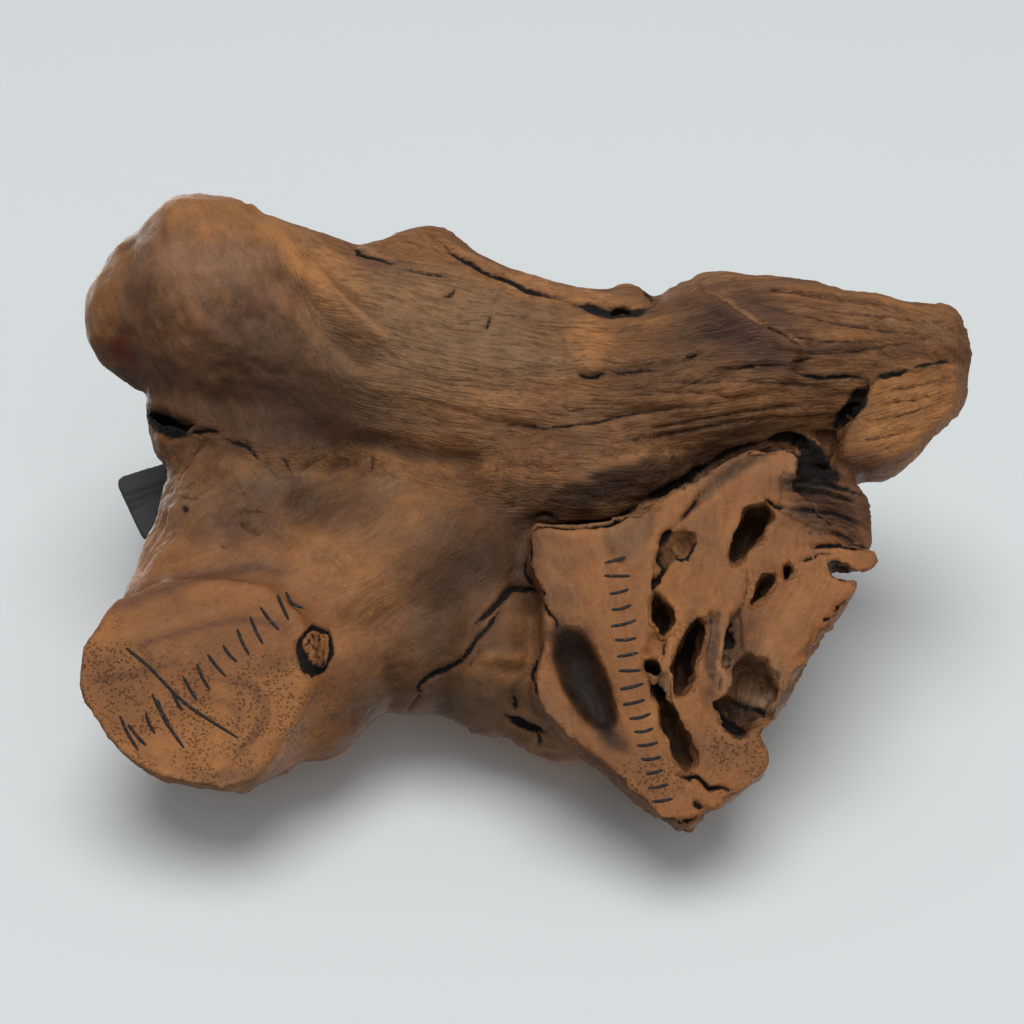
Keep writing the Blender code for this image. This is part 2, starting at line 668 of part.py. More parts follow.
def make_bird(frame_empty):
    bm = bmesh.new()
    limb(bm, BIRD_TRUNK, sides=20)
    swelling(bm, *HEAD)
    for side in (1, -1):
        wing(bm, side)
        (x, _, z), sizes, turn = THIGH
        apart = STANCE_WIDTH / 2 * DRAWN_BODY / BODY_LENGTH
        swelling(bm, (x, side * apart, z), sizes, turn)
    grow_body(bm)
    bill(bm)
    bird = add_object("bird_body", bm, frame_empty)
    one_skin(bird, BODY_VOXEL, 2)
    thin(bird, BODY_TRIANGLES)

    feathers = add_collection("Tail feathers")
    for pair in range(FEATHER_PAIRS):
        for side in (1, -1):
            name = f"Feather {pair + 1} {'left' if side > 0 else 'right'}"
            as_cutter(add_object(name, tail_feather(pair, side), frame_empty), feathers)
    boolean(bird, "Tail", "UNION", feathers)

    sockets = add_collection("Bird sockets")
    for side, word in ((1, "left"), (-1, "right")):
        eye = eye_place(side)
        as_cutter(
            add_object(f"Eye socket {word}", ball(EYE_DIAMETER / 2 + SEAT_GAP, eye), frame_empty), sockets
        )
        add_object(f"{word}_eye", ball(EYE_DIAMETER / 2, eye), frame_empty)
        hole = bmesh.new()
        y = side * STANCE_WIDTH / 2
        root = LEG_HEIGHT + LEG_SEAT + SEAT_GAP
        rod(hole, LEG_DIAMETER / 2 + SEAT_GAP, (0, y, LEG_HEIGHT / 2), (0, y, root))
        as_cutter(add_object(f"Leg socket {word}", hole, frame_empty), sockets)
    boolean(bird, "Sockets", "DIFFERENCE", sockets)


def lifted(tree, x, y, clearance):
    """A point above x, y that keeps its clearance from the surface on every side."""
    point = Vector((x, y, top_of(tree, x, y) + clearance))
    while tree.find_nearest(point)[3] < clearance:
        point.z += LIFT_STEP
    return point


def toe(bm, tree, foot, direction, length):
    """A toe that follows the wood, arched along its middle, with a claw at its end."""
    radius = TOE_DIAMETER / 2
    stations = []
    for share, thick in TOE_SHAPE:
        x = foot.x + share * length * math.cos(direction)
        y = foot.y + share * length * math.sin(direction)
        point = lifted(tree, x, y, thick * radius + SEAT_GAP)
        point.z += TOE_ARCH * math.sin(math.pi * share)
        stations.append((*point, thick * radius, thick * radius))
    limb(bm, stations, sides=10, steps=2)


def make_legs(origin, frame, tree):
    """Two wire legs, each set in a hole in the body and a hole in the wood."""
    holes = []
    for side, word in ((1, "left"), (-1, "right")):
        foot = frame @ Vector((0, side * STANCE_WIDTH / 2, 0))
        surface = top_of(tree, foot.x, foot.y)
        top = frame.translation.z + LEG_HEIGHT + LEG_SEAT
        bm = bmesh.new()
        rod(bm, LEG_DIAMETER / 2, (foot.x, foot.y, surface - LEG_SEAT), (foot.x, foot.y, top))
        spread = TOE_SPREAD * (np.arange(FRONT_TOES) - (FRONT_TOES - 1) / 2)
        for turn in spread:
            toe(bm, tree, foot, HEADING + turn, TOE_LENGTH)
        toe(bm, tree, foot, HEADING + math.pi, HIND_TOE_LENGTH)
        leg = add_object(f"{word}_leg", bm, origin)
        one_skin(leg, LEG_VOXEL, 1)
        thin(leg, LEG_TRIANGLES)
        hole = bmesh.new()
        wide = LEG_DIAMETER / 2 + SEAT_GAP
        low = surface - LEG_SEAT - SEAT_GAP
        rod(hole, wide, (foot.x, foot.y, low), (foot.x, foot.y, surface + LEG_HEIGHT / 2))
        holes.append(add_object(f"Leg hole {word}", hole, origin))
    return holes


def centre_on_footprint(origin):
    """Moves everything so that the middle of its footprint is at the origin."""
    bpy.context.view_layer.update()
    graph = bpy.context.evaluated_depsgraph_get()
    points = []
    for thing in bpy.data.objects:
        if thing.type == "MESH" and not thing.hide_render:
            solid = thing.evaluated_get(graph)
            points += [solid.matrix_world @ v.co for v in solid.to_mesh().vertices]
    flat = np.array(points)[:, :2]
    middle = (flat.min(axis=0) + flat.max(axis=0)) / 2
    origin.location = (-middle[0], -middle[1], 0)


def main():
    clear_scene()
    origin = add_empty("origin")
    stand, cuts = make_stand(origin)
    wood = surface_of(stand)
    frame = bird_frame(wood)
    perch = add_empty("perch", origin)
    perch.matrix_basis = frame
    make_bird(perch)
    for hole in make_legs(origin, frame, wood):
        as_cutter(hole, cuts)
    centre_on_footprint(origin)


main()
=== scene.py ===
"""The looks of a carved songbird on its driftwood stand: wood, paint, pen strokes, studio and camera.

The underside is what the photograph shows, so the wood's features are placed there by the pixels of
the photograph's 1024 x 1024 frame, seen through the same camera. Lengths are in millimetres on the
sheet, which is centred in the view, and in metres in the scene.
"""

import math

import bmesh
import bpy
import numpy as np
from mathutils import Matrix, Vector
from mathutils.kdtree import KDTree


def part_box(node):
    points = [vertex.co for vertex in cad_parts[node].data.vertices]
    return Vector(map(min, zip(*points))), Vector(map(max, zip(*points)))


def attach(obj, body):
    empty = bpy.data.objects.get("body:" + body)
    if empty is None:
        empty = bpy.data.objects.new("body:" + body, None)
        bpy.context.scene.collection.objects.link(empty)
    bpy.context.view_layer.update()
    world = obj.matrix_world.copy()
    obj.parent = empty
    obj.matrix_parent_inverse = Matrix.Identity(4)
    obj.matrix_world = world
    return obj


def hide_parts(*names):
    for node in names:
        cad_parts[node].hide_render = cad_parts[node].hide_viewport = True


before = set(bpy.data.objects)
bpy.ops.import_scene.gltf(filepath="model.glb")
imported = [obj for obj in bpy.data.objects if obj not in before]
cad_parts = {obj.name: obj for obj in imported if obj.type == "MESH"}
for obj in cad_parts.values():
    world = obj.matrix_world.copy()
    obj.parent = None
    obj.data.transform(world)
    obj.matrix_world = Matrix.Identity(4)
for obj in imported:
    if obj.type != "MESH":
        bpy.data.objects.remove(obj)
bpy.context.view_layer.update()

MM = 0.001

# The photograph's view: from below, tilted towards the side without feet
CAMERA_TILT = math.radians(14)
CAMERA_DISTANCE = 340.0
PHOTO_CENTRE = 512
FOCAL_PIXELS = 1836
PHOTO_WIDTH = 1024
SENSOR = 36.0

# The way from the sheet to the camera
SIGHT = np.array((0, math.sin(CAMERA_TILT), -math.cos(CAMERA_TILT)))

# Pixels of the photograph to a millimetre, near the sanded feet
SCALE = FOCAL_PIXELS / CAMERA_DISTANCE

# The driftwood's lowest x and y on the sheet
SHEET_CORNER = (-86.614, -71.584)

# Mesh of the wood: its voxel, the edges that stay sharp and how far they reach in millimetres, the
# passes that smooth its facets, its upper side, its foot's blend and its soft places, its number of
# triangles, and the steps in which its thinned side begins
WOOD_VOXEL = 0.78 * MM
SHARP_EDGE = math.radians(28)
EDGE_REACH = (0.7, 2.6)
FACET_PASSES = 40
TOP_PASSES = 150
BLEND_PASSES = 36
SOFT_PASSES = 24
WOOD_TRIANGLES = 198000
THIN_LEVELS = 4

# Fine adjustments of the outline in the photo: place, shift and reach, in pixels
NUDGES = (
    (147, 522, 8, 0, 22), (165, 208, -5, -6, 34), (104, 256, 6, 4, 28), (275, 208, -2, 9, 44),
    (116, 386, 5, 3, 20), (97, 345, -4, 0, 24), (134, 394, 0, 5, 12), (150, 432, 3, 0, 14),
    (134, 566, 5, 0, 24), (118, 598, -4, -3, 14), (200, 790, 0, -3, 44),
    (440, 230, 2, -4, 20), (508, 270, -1, 6, 26), (624, 288, 0, -4, 18), (656, 298, 0, 8, 14),
    (690, 280, 0, 5, 18), (850, 289, 0, 4, 34), (948, 316, 4, -7, 28), (969, 385, -3, 0, 20),
    (935, 436, -3, -3, 20), (862, 480, 0, -4, 10), (874, 556, 4, 0, 10), (852, 584, 4, -6, 12),
    (818, 660, -3, -2, 50), (766, 735, -7, 0, 12), (703, 812, -4, -4, 8),
)

# The middle of the long limb on the sheet, which its grain follows
LIMB_X = (-90, -62, -40, -12, 20, 50, 70, 95)
LIMB_Y = (-48, -47.6, -41, -34, -31, -35, -34, -30)
# The leg's grain runs from the hub to the round foot, and the stump's towards a point below its tip
LEG_START = (-5, -5)
LEG_END = (-57, 31)
STUMP_FOCUS = (30, 78)

# Border of the limb in the photo, left to right
LIMB_BORDER = (
    (60, 420), (145, 424), (191, 432), (262, 463), (350, 470), (430, 492), (520, 522), (555, 524),
    (610, 522), (643, 501), (690, 480), (736, 451), (778, 442), (810, 440), (832, 452), (1000, 560),
)
# What closes the limb's border, beyond the photo's top
ABOVE_PHOTO = ((1100, -100), (-100, -100))
# The stump's sanded face in the photo
STUMP_FACE = (
    (530, 544), (537, 528), (567, 529), (608, 524), (640, 507), (700, 474), (740, 449), (790, 450),
    (806, 460), (800, 488), (832, 496), (860, 518), (872, 548), (876, 570), (850, 580), (859, 595),
    (830, 640), (795, 697), (765, 733), (769, 765), (740, 795), (703, 825), (690, 832), (645, 806),
    (585, 765), (530, 690), (541, 650), (556, 625), (537, 590), (530, 570),
)
# Where the foot's sanded face runs smoothly into the leg, and the middle of its knot
FOOT_BLEND = (
    (112, 606), (157, 588), (205, 574), (254, 570), (296, 588), (316, 640), (314, 700), (290, 752),
)
KNOT = (317, 649)
KNOT_SIZE = (17, 22)
# Places of the stump that are smoothed: route and reach
SOFT_PLACES = (
    (((562, 632), (578, 672), (596, 706), (614, 738)), 40),
    (((737, 612), (731, 640), (729, 666)), 14),
)
# The gap between the stump's tongue and the limb: its middle, and the height and size of what closes it
GAP = (809, 460)
GAP_HEIGHT = 17.0
GAP_RADIUS = 4.4

# Where the mesh is split for fine forms: how near grooves and plates in pixels, and rims in millimetres
GROOVE_REACH = 3
PLATE_REACH = 2.5
RIM_REACH = 0.5
# How far the rims of the stump's hollows stray, in millimetres
RIM_WANDER = 0.55
# How far lines and stains stray from where they are drawn, in pixels
LINE_STRAY = 1.2
STAIN_STRAY = 6
# Where the stump's wood is split into strands
STRANDS = ((780, 474), (832, 476), (872, 490), (876, 552), (820, 530), (780, 512))

# The knob's mottles, the broken tip's fibres and the strands run their own way
KNOB_TURN = math.radians(70)
TIP_TURN = math.radians(-19)
STRAND_TURN = math.radians(18)
TIP_PIECE = ((834, 434), (856, 408), (874, 380), (1000, 352), (1000, 520), (820, 500))


def linear(red, green, blue):
    """A colour given as it looks on a screen, from 0 to 255, in linear light."""
    parts = np.array((red, green, blue)) / 255
    return np.where(parts < 0.04045, parts / 12.92, ((parts + 0.055) / 1.055) ** 2.4)


BROWN = linear(112, 78, 50)
GREY_BROWN = linear(124, 98, 72)
ORANGE = linear(160, 112, 66)
PALE_ORANGE = linear(150, 104, 64)
PURPLE_BROWN = linear(76, 52, 42)
DARK_BROWN = linear(62, 41, 27)
BLACK_BROWN = linear(34, 24, 18)
PINKISH = linear(130, 98, 76)
RED_BROWN = linear(84, 34, 20)
SANDED = linear(134, 90, 55)
GROOVE_STAIN = linear(38, 24, 15)
HOLLOW_BROWN = linear(92, 60, 36)
SLATE_BROWN = linear(88, 74, 62)
GREY_FACE = linear(104, 76, 54)
SLATE_FACE = linear(86, 66, 50)
PALE_FACE = linear(150, 110, 76)
CHIP = linear(138, 92, 50)
WARM_FACE = linear(104, 68, 40)
DARK_FACE = linear(70, 46, 28)
ORANGE_FACE = linear(140, 90, 48)
RECESS_BROWN = linear(122, 92, 68)
# The grey of a painted highlight in the stump's recess
RECESS_HIGHLIGHT_GREY = linear(164, 142, 122)
STRAND_BROWN = linear(98, 64, 42)
SOOT = linear(18, 11, 8)
# The black of the painted shade in cracks and gaps, and of the knot's ring
CRACK_BLACK = linear(15, 9, 6)

# Grooves and cracks: route, width, depth, and darkness, which is painted shade in them
GROOVES = (
    (((480, 425), (530, 427), (562, 426), (588, 423), (610, 419), (632, 415), (660, 411),
      (690, 408)), 0.25, 0.5, 0.6),
    (((606, 371), (622, 373), (640, 371), (662, 371)), 0.3, 0.5, 0.7),
    (((560, 408), (572, 410), (588, 408)), 0.35, 0.5, 0.6),
    (((576, 372), (582, 376), (594, 377), (606, 371)), 0.5, 0.9, 0.8),
    (((348, 243), (360, 252), (376, 260), (396, 268)), 0.35, 0.8, 0.8),
    (((396, 268), (420, 274), (452, 280)), 0.3, 0.3, 0.5),
    (((428, 233), (443, 245), (452, 256), (476, 270), (502, 281), (528, 293), (552, 300),
      (574, 307)), 0.22, 0.9, 0.75),
    (((572, 306), (590, 311), (612, 314), (634, 313), (655, 307)), 1.4, 0.6, 0.9),
    (((642, 288), (650, 296), (654, 306)), 0.5, 0.6, 0.6),
    (((699, 281), (702, 294), (727, 306), (748, 320), (761, 327), (783, 335), (797, 344),
      (812, 354)), 0.3, 0.4, 0.65),
    (((458, 286), (452, 294), (440, 298)), 0.25, 0.4, 0.6),
    (((491, 314), (488, 324), (486, 334)), 0.25, 0.4, 0.6),
    (((143, 406), (152, 420), (168, 430), (190, 436)), 2.6, 0.6, 1.0),
    (((188, 433), (205, 432), (223, 431)), 0.35, 0.7, 0.9),
    (((222, 436), (233, 442), (248, 447), (256, 455), (262, 465)), 0.35, 0.6, 0.8),
    (((281, 455), (288, 465), (294, 477)), 0.25, 0.4, 0.6),
    (((296, 477), (316, 461), (336, 451)), 0.25, 0.3, 0.4),
    (((371, 450), (372, 462), (372, 475)), 0.25, 0.3, 0.5),
    (((206, 441), (195, 453), (185, 468), (173, 477)), 0.5, 0.7, 0.4),
    (((176, 497), (190, 497), (203, 500)), 0.25, 0.3, 0.4),
    (((234, 515), (246, 510), (260, 511), (274, 514)), 0.5, 0.5, 0.45),
    (((238, 522), (253, 531), (266, 534)), 0.5, 0.5, 0.45),
    (((181, 505), (185, 509), (187, 512)), 0.8, 0.7, 0.7),
    (((220, 545), (225, 547), (230, 546)), 0.5, 0.4, 0.5),
    (((237, 483), (242, 491), (246, 497)), 0.25, 0.3, 0.4),
    (((683, 361), (690, 357), (700, 355)), 0.3, 0.5, 0.7),
    (((706, 366), (722, 368), (740, 368), (758, 366), (779, 366), (793, 368)), 0.3, 0.5, 0.7),
    (((787, 363), (798, 361), (812, 358)), 0.3, 0.4, 0.7),
    (((794, 372), (813, 377), (848, 377), (870, 379)), 0.45, 0.8, 0.9),
    (((874, 378), (892, 373), (910, 369)), 0.9, 1.3, 1.0),
    (((906, 370), (930, 364), (962, 360)), 0.3, 0.5, 0.7),
    (((868, 381), (866, 390), (855, 398), (855, 407), (848, 414), (835, 425), (832, 434)), 1.7, 1.8, 1.0),
    (((640, 414), (670, 410), (699, 407), (727, 403)), 0.25, 0.3, 0.4),
    (((620, 395), (660, 392), (700, 393), (730, 396), (770, 394)), 0.25, 0.4, 0.45),
    (((640, 380), (690, 383), (740, 381), (800, 385), (846, 390)), 0.25, 0.4, 0.5),
    (((600, 432), (660, 427), (720, 416), (780, 407), (830, 404)), 0.25, 0.4, 0.5),
    (((560, 448), (620, 441), (690, 431), (760, 419), (822, 415)), 0.25, 0.4, 0.45),
    (((770, 345), (800, 352), (850, 352), (900, 344), (950, 334)), 0.3, 0.4, 0.5),
    (((730, 296), (790, 312), (850, 326), (920, 334), (955, 330)), 0.3, 0.4, 0.5),
    (((720, 300), (760, 322), (800, 338), (860, 342), (930, 338)), 0.3, 0.4, 0.5),
    (((790, 300), (840, 312), (890, 318), (940, 322)), 0.3, 0.4, 0.45),
    (((730, 284), (790, 290), (850, 300), (920, 312)), 0.3, 0.4, 0.4),
    (((880, 392), (905, 388), (935, 382), (960, 376)), 0.25, 0.4, 0.5),
    (((872, 404), (900, 402), (925, 397), (950, 392)), 0.25, 0.4, 0.5),
    (((858, 420), (885, 418), (915, 411), (940, 404)), 0.25, 0.4, 0.5),
    (((842, 440), (870, 439), (900, 433), (920, 426)), 0.25, 0.4, 0.5),
    (((536, 530), (546, 526), (561, 526), (585, 525), (611, 522), (628, 512), (643, 500)), 0.9, 1.7, 1.0),
    (((640, 501), (655, 496), (668, 490), (690, 478), (700, 470), (716, 462)), 1.3, 1.9, 1.0),
    (((712, 464), (724, 456), (738, 451), (764, 445)), 0.7, 1.6, 0.9),
    (((764, 444), (790, 440), (812, 446)), 1.7, 1.8, 1.0),
    (((806, 444), (814, 456), (822, 470), (836, 474)), 3.6, 2.0, 1.0),
    (((532, 519), (544, 514), (556, 520)), 0.4, 0.7, 0.8),
    (((530, 540), (529, 556), (525, 571), (530, 580), (536, 589)), 0.6, 1.0, 1.0),
    (((545, 594), (524, 588), (512, 588), (500, 598), (489, 610), (480, 618), (470, 628)), 1.0, 1.5, 1.0),
    (((508, 596), (497, 614), (486, 628), (475, 640), (468, 652), (458, 662), (446, 669),
      (434, 674), (420, 685),
      (419, 696), (407, 712)), 0.5, 0.9, 0.95),
    (((483, 644), (476, 656), (464, 672)), 0.3, 0.3, 0.4),
    (((537, 597), (548, 612), (557, 621), (555, 636)), 0.4, 0.6, 0.7),
    (((543, 641), (541, 655), (534, 669), (533, 678), (536, 692), (540, 702)), 0.4, 0.7, 0.9),
    (((513, 693), (514, 704), (512, 712)), 0.35, 0.5, 0.8),
    (((505, 716), (514, 723), (529, 730), (545, 736)), 1.0, 1.5, 1.0),
    (((538, 736), (538, 748)), 0.4, 0.7, 0.8),
    (((702, 492), (692, 506), (684, 516), (677, 525)), 0.5, 0.8, 0.65),
    (((671, 530), (664, 542), (662, 550)), 1.3, 1.6, 1.0),
    (((652, 674), (656, 688), (662, 702)), 1.6, 1.8, 0.8),
    (((661, 553), (660, 561), (664, 567), (659, 578), (654, 590)), 0.7, 1.4, 0.95),
    (((655, 576), (653, 592)), 0.7, 1.0, 1.0),
    (((697, 539), (690, 551), (684, 560), (677, 558), (672, 549)), 0.3, 0.3, 0.9),
    (((667, 640), (663, 650), (661, 662)), 0.3, 0.4, 0.8),
    (((744, 566), (748, 578), (745, 596), (738, 614), (731, 628)), 0.3, 0.4, 0.5),
    (((734, 620), (729, 636), (727, 650)), 0.45, 1.2, 1.0),
    (((716, 702), (722, 712), (734, 722), (745, 731)), 0.8, 1.6, 1.0),
    (((729, 698), (740, 706), (756, 711), (772, 718)), 0.6, 0.8, 0.9),
    (((675, 774), (688, 778), (697, 777), (703, 783), (710, 788), (724, 788), (732, 795)), 0.35, 1.2, 1.0),
    (((694, 800), (699, 807), (705, 806)), 0.7, 1.0, 0.9),
    (((657, 819), (672, 822), (686, 822), (698, 817)), 0.45, 0.9, 0.9),
    (((786, 483), (808, 482), (834, 486), (862, 496)), 0.5, 0.9, 0.9),
    (((783, 492), (812, 491), (840, 497), (866, 509)), 0.3, 0.7, 0.6),
    (((780, 500), (810, 500), (838, 506), (866, 520)), 0.25, 0.6, 0.5),
    (((782, 508), (806, 510), (838, 514), (866, 530)), 0.5, 0.8, 0.75),
    (((800, 516), (826, 518), (848, 524), (866, 538)), 0.25, 0.6, 0.5),
    (((822, 522), (842, 527), (864, 544)), 0.25, 0.5, 0.5),
    (((826, 531), (842, 535), (860, 546)), 0.4, 0.8, 0.7),
    (((764, 498), (774, 506), (786, 508)), 0.5, 0.8, 0.9),
    (((806, 552), (822, 546), (842, 546), (872, 549)), 0.45, 1.0, 0.9),
    (((798, 562), (812, 558), (830, 552)), 0.4, 0.7, 0.8),
    (((808, 537), (813, 531), (820, 533), (818, 540)), 0.3, 0.3, 0.5),
    (((803, 543), (805, 528), (817, 523), (829, 530), (832, 542)), 0.3, 0.3, 0.35),
    (((796, 548), (812, 545), (824, 548)), 0.3, 0.3, 0.3),
    (((832, 612), (840, 606), (850, 602)), 0.5, 0.7, 0.8),
    (((818, 622), (830, 618), (840, 614)), 0.4, 0.6, 0.7),
    (((816, 636), (826, 628), (832, 622)), 0.4, 0.5, 0.5),
    (((796, 664), (806, 648), (818, 634)), 0.4, 0.4, 0.35),
    (((818, 584), (814, 604), (806, 630), (800, 650)), 0.35, 0.2, 0.2),
    (((546, 548), (557, 569), (571, 582)), 1.2, 0.4, 0.12),
    (((604, 532), (610, 548), (616, 560)), 0.4, 0.4, 0.15),
)

# Ledges: route, with the higher side on its left as it runs, height, and how far it fades
LEDGES = (
    (((699, 280), (702, 296), (727, 308), (748, 322), (761, 329), (783, 337), (797, 346),
      (812, 356)), -2.3, 12),
    (((812, 356), (840, 362), (880, 364), (930, 356), (962, 344)), 0.5, 5),
    (((523, 512), (554, 488), (591, 471), (632, 460), (690, 449)), -0.8, 6),
    (((560, 330), (566, 352), (578, 368)), 0.7, 5),
    (((578, 368), (592, 372), (606, 368)), 0.8, 3),
    (((352, 246), (376, 262), (396, 270), (430, 276), (455, 279), (485, 275)), 0.6, 4),
    (((430, 236), (452, 258), (502, 283), (552, 302), (574, 309)), 0.7, 3),
    (((518, 716), (532, 722), (547, 729)), 0.7, 2),
    (((726, 708), (745, 716), (770, 706)), 0.8, 3),
)

# Plates of the stump's worn face: outline in the photo, depth, softness of its edge, colour and strength
PLATES = (
    (((603, 528), (612, 556), (622, 566), (645, 548), (662, 508), (640, 508)), 0.5, 3, GREY_FACE, 0.5),
    (((684, 516), (700, 494), (716, 478), (744, 458), (770, 449), (764, 460), (728, 480),
      (706, 500)), 0.7, 3, SLATE_FACE, 0.7),
    (((782, 446), (798, 447), (806, 456), (804, 470), (796, 476), (786, 468)), 0.5, 3, PALE_FACE, 0.3),
    (((672, 529), (681, 527), (690, 531), (696, 539), (690, 550), (684, 559), (677, 557),
      (671, 546)), 0, 2, CHIP, 0.8),
    (((649, 634), (664, 634), (667, 642), (663, 652), (661, 660), (652, 657), (643, 656),
      (647, 645)), 0.9, 2, CHIP, 0.9),
    (((676, 665), (684, 672), (686, 694), (678, 696), (673, 688)), 0, 2, WARM_FACE, 0.7),
    (((708, 612), (719, 612), (720, 640), (717, 656), (712, 690), (706, 664), (704, 640)),
      0.9, 2, SLATE_FACE, 0.8),
    (((731, 616), (741, 610), (741, 640), (743, 652), (733, 664), (726, 668), (724, 660),
      (727, 640)), 1.1, 2, SLATE_FACE, 0.85),
    (((700, 690), (712, 690), (718, 704), (732, 722), (744, 734), (738, 740), (716, 722),
      (704, 706)), 0.5, 3, WARM_FACE, 0.3),
    (((718, 708), (732, 722), (745, 731), (742, 738), (730, 732), (719, 722)), 0.9, 2, SLATE_FACE, 0.8),
    (((656, 676), (668, 672), (671, 690), (672, 704), (662, 692)), 0.6, 2, SLATE_FACE, 0.8),
    (((828, 562), (838, 561), (846, 570), (852, 580), (842, 580), (832, 575)), 1.2, 2, DARK_FACE, 0.8),
    (((858, 588), (862, 598), (836, 630), (806, 662), (796, 690), (786, 690), (800, 656),
      (820, 628), (840, 606)), 0.6, 4, ORANGE_FACE, 0.75),
    (((656, 819), (686, 822), (702, 814), (712, 832), (680, 842), (650, 830)), 0.9, 2, WARM_FACE, 0.4),
    (((758, 512), (774, 511), (770, 524), (756, 545), (744, 560), (740, 556)), 0, 3, WARM_FACE, 0.55),
)

# Ridges: route, width, height
RIDGES = (
    (((262, 215), (284, 248), (306, 280), (340, 306), (372, 330), (404, 362)), 3.2, 1.2),
    (((258, 240), (284, 276), (320, 316), (352, 346), (384, 376)), 2.6, -0.8),
    (((340, 444), (387, 444), (407, 455), (454, 458), (493, 458)), 2.0, -0.7),
    (((300, 462), (336, 456), (380, 456), (420, 470)), 2.0, 0.6),
    (((205, 452), (250, 480), (300, 486), (350, 470)), 2.4, 0.7),
    (((210, 447), (199, 457), (190, 470), (180, 480)), 1.6, 0.7),
    (((268, 524), (300, 534), (340, 552), (362, 575)), 2.4, 0.6),
    (((106, 611), (157, 590), (205, 575), (254, 565), (283, 568)), 1.6, -0.4),
    (((150, 590), (181, 574), (215, 564)), 1.4, 0.4),
    (((514, 604), (512, 640), (508, 672)), 5.0, 1.0),
    (((480, 664), (500, 657), (528, 660)), 1.8, 0.6),
    (((250, 765), (300, 735), (350, 716), (390, 700)), 2.0, -0.5),
    (((640, 340), (700, 338), (760, 344)), 2.0, -0.5),
    (((430, 360), (500, 366), (560, 380)), 3.0, 0.4),
    (((600, 440), (660, 428), (740, 416), (800, 400)), 2.4, 0.5),
    (((440, 236), (470, 258), (528, 284), (580, 298), (640, 296)), 1.8, 0.9),
    (((700, 320), (740, 340), (790, 352)), 4.0, -0.9),
    (((300, 262), (330, 290), (360, 320), (395, 350)), 2.2, 0.9),
    (((318, 262), (345, 292), (372, 320), (402, 346)), 1.6, -0.7),
    (((290, 300), (320, 330), (350, 356), (384, 384)), 1.6, -0.6),
    (((574, 300), (600, 304), (630, 303), (648, 298)), 1.8, 0.7),
    (((565, 640), (578, 672), (592, 700), (612, 732)), 5.0, -1.2),
)

# Gaps whose insides are painted black as shade: middle, half width, half height and turn
GAPS = (
    (811, 458, 17, 18, 0),
    (818, 472, 22, 10, 8),
    (796, 442, 26, 5, 0),
    (854, 405, 7, 18, 32),
    (168, 424, 22, 9, 30),
)

# Where the relief is stronger or weaker than elsewhere on the limb, the leg and the stump, where the
# leg is wrinkled and the limb's fibres are rough, and where the sanded wood shows pores: middle, half
# width, half height and strength
LIMB_RELIEF = ((330, 330, 80, 110, -0.2), (860, 350, 130, 90, -0.35))
LEG_RELIEF = ((220, 500, 90, 60, 0.3),)
STUMP_RELIEF = ((838, 512, 34, 34, 0.6), (798, 468, 16, 18, 1.2))
WRINKLES = ((195, 515, 60, 46, 1), (240, 460, 70, 34, 0.6))
ROUGH_FIBRES = ((905, 420, 64, 54, 1), (850, 320, 130, 50, 0.8), (620, 400, 160, 60, 0.5))
PORES = (
    (180, 722, 120, 76, 1),
    (95, 650, 30, 60, 1),
    (740, 752, 40, 44, 1),
    (650, 790, 40, 40, 1),
    (300, 700, 60, 60, 0.5),
)

# The bird's place and heading, in millimetres, and its own frame: X forward, Z up from its feet
BIRD_PLACE = (-39.51, -32.35, 44.88)
BIRD_TURN = math.radians(-27)
BIRD_VOXEL = 0.42 * MM
LEG_VOXEL = 0.17 * MM

# The middle of the bird's body from tail to forehead, in x and z, its radius, and its wing: x, y, z and
# half height
BODY_LINE = (
    (-60, 13), (-29, 18), (-23, 20), (-13, 23.5), (-2, 28.5), (9, 34), (19, 40), (27, 46), (42, 52),
)
BODY_RADIUS = 13
WING = (
    (15, 11.6, 38.8, 6), (4, 13.9, 34.5, 9.4), (-8, 12.9, 29.5, 8.6),
    (-19, 9.4, 25.5, 6.2), (-29, 6.2, 22.8, 3.6), (-37, 4.2, 21.2, 1.9),
)
EYE_AT = (35.6, 52.6)
EYE_RADIUS = 2.1
TAIL_FROM = -29
TAIL_LONGER = 1.2
BILL_FROM = 41.5

# Edges of the bird that stay sharp, and the pitch of the points along them
BIRD_SHARP_EDGE = math.radians(34)
BIRD_PITCH = 0.6 * MM

# Rows of body feathers: how long and how wide each is and how much it stands out, in millimetres, how
# round its tip is, how far the wave of its barbs turns across it, and their depth. Then how many flight
# feathers lie across half the wing's height, and the depth of the grooves between them
FEATHER_LENGTH = 3.4
FEATHER_WIDTH = 3.3
FEATHER_STEP = 0.26
FEATHER_TIP = 0.55
BARB_TURNS = 16
BARB_DEPTH = 0.04
FLIGHT_FEATHERS = 2.78
FLIGHT_GROOVE = 0.16

# The legs' scales: how far apart they are up the shin and along the toes, and their depth
SHIN_PITCH = 1.15
TOE_PITCH = 1.05
SCALE_DEPTH = 0.07

# The pen's line, in millimetres: half its width and depth, how far it lies outside the wood, and its
# number of sides. Then the rows of strokes: start, end, tilt of the strokes, length and number
INK_HALF_WIDTH = 0.3
INK_HALF_DEPTH = 0.1
INK_LIFT = 0.02
INK_SIDES = 8
INK_ROWS = (
    ((137, 735), (283, 607), 58, 5.6, 12),
    ((662, 800), (640, 716), -14, 4.4, 7),
    ((634, 702), (615, 560), -8, 5.0, 10),
)
INK_LONG = (
    ((126, 648), (150, 668), (186, 704), (238, 738)),
    ((120, 716), (128, 734), (138, 750)),
    ((152, 694), (166, 722), (184, 748)),
    ((286, 592), (292, 603), (303, 608)),
)

# Seeds of the noises
RELIEF_SEED = 3
STREAK_SEED = 11
WARP_SEED = 23
STAIN_SEED = 31
BIRD_SEED = 47
INK_SEED = 53


def smooth(low, high, x):
    """0 below the low level, 1 above the high one, and a smooth step between them."""
    t = np.clip((x - low) / (high - low), 0, 1)
    return t * t * (3 - 2 * t)


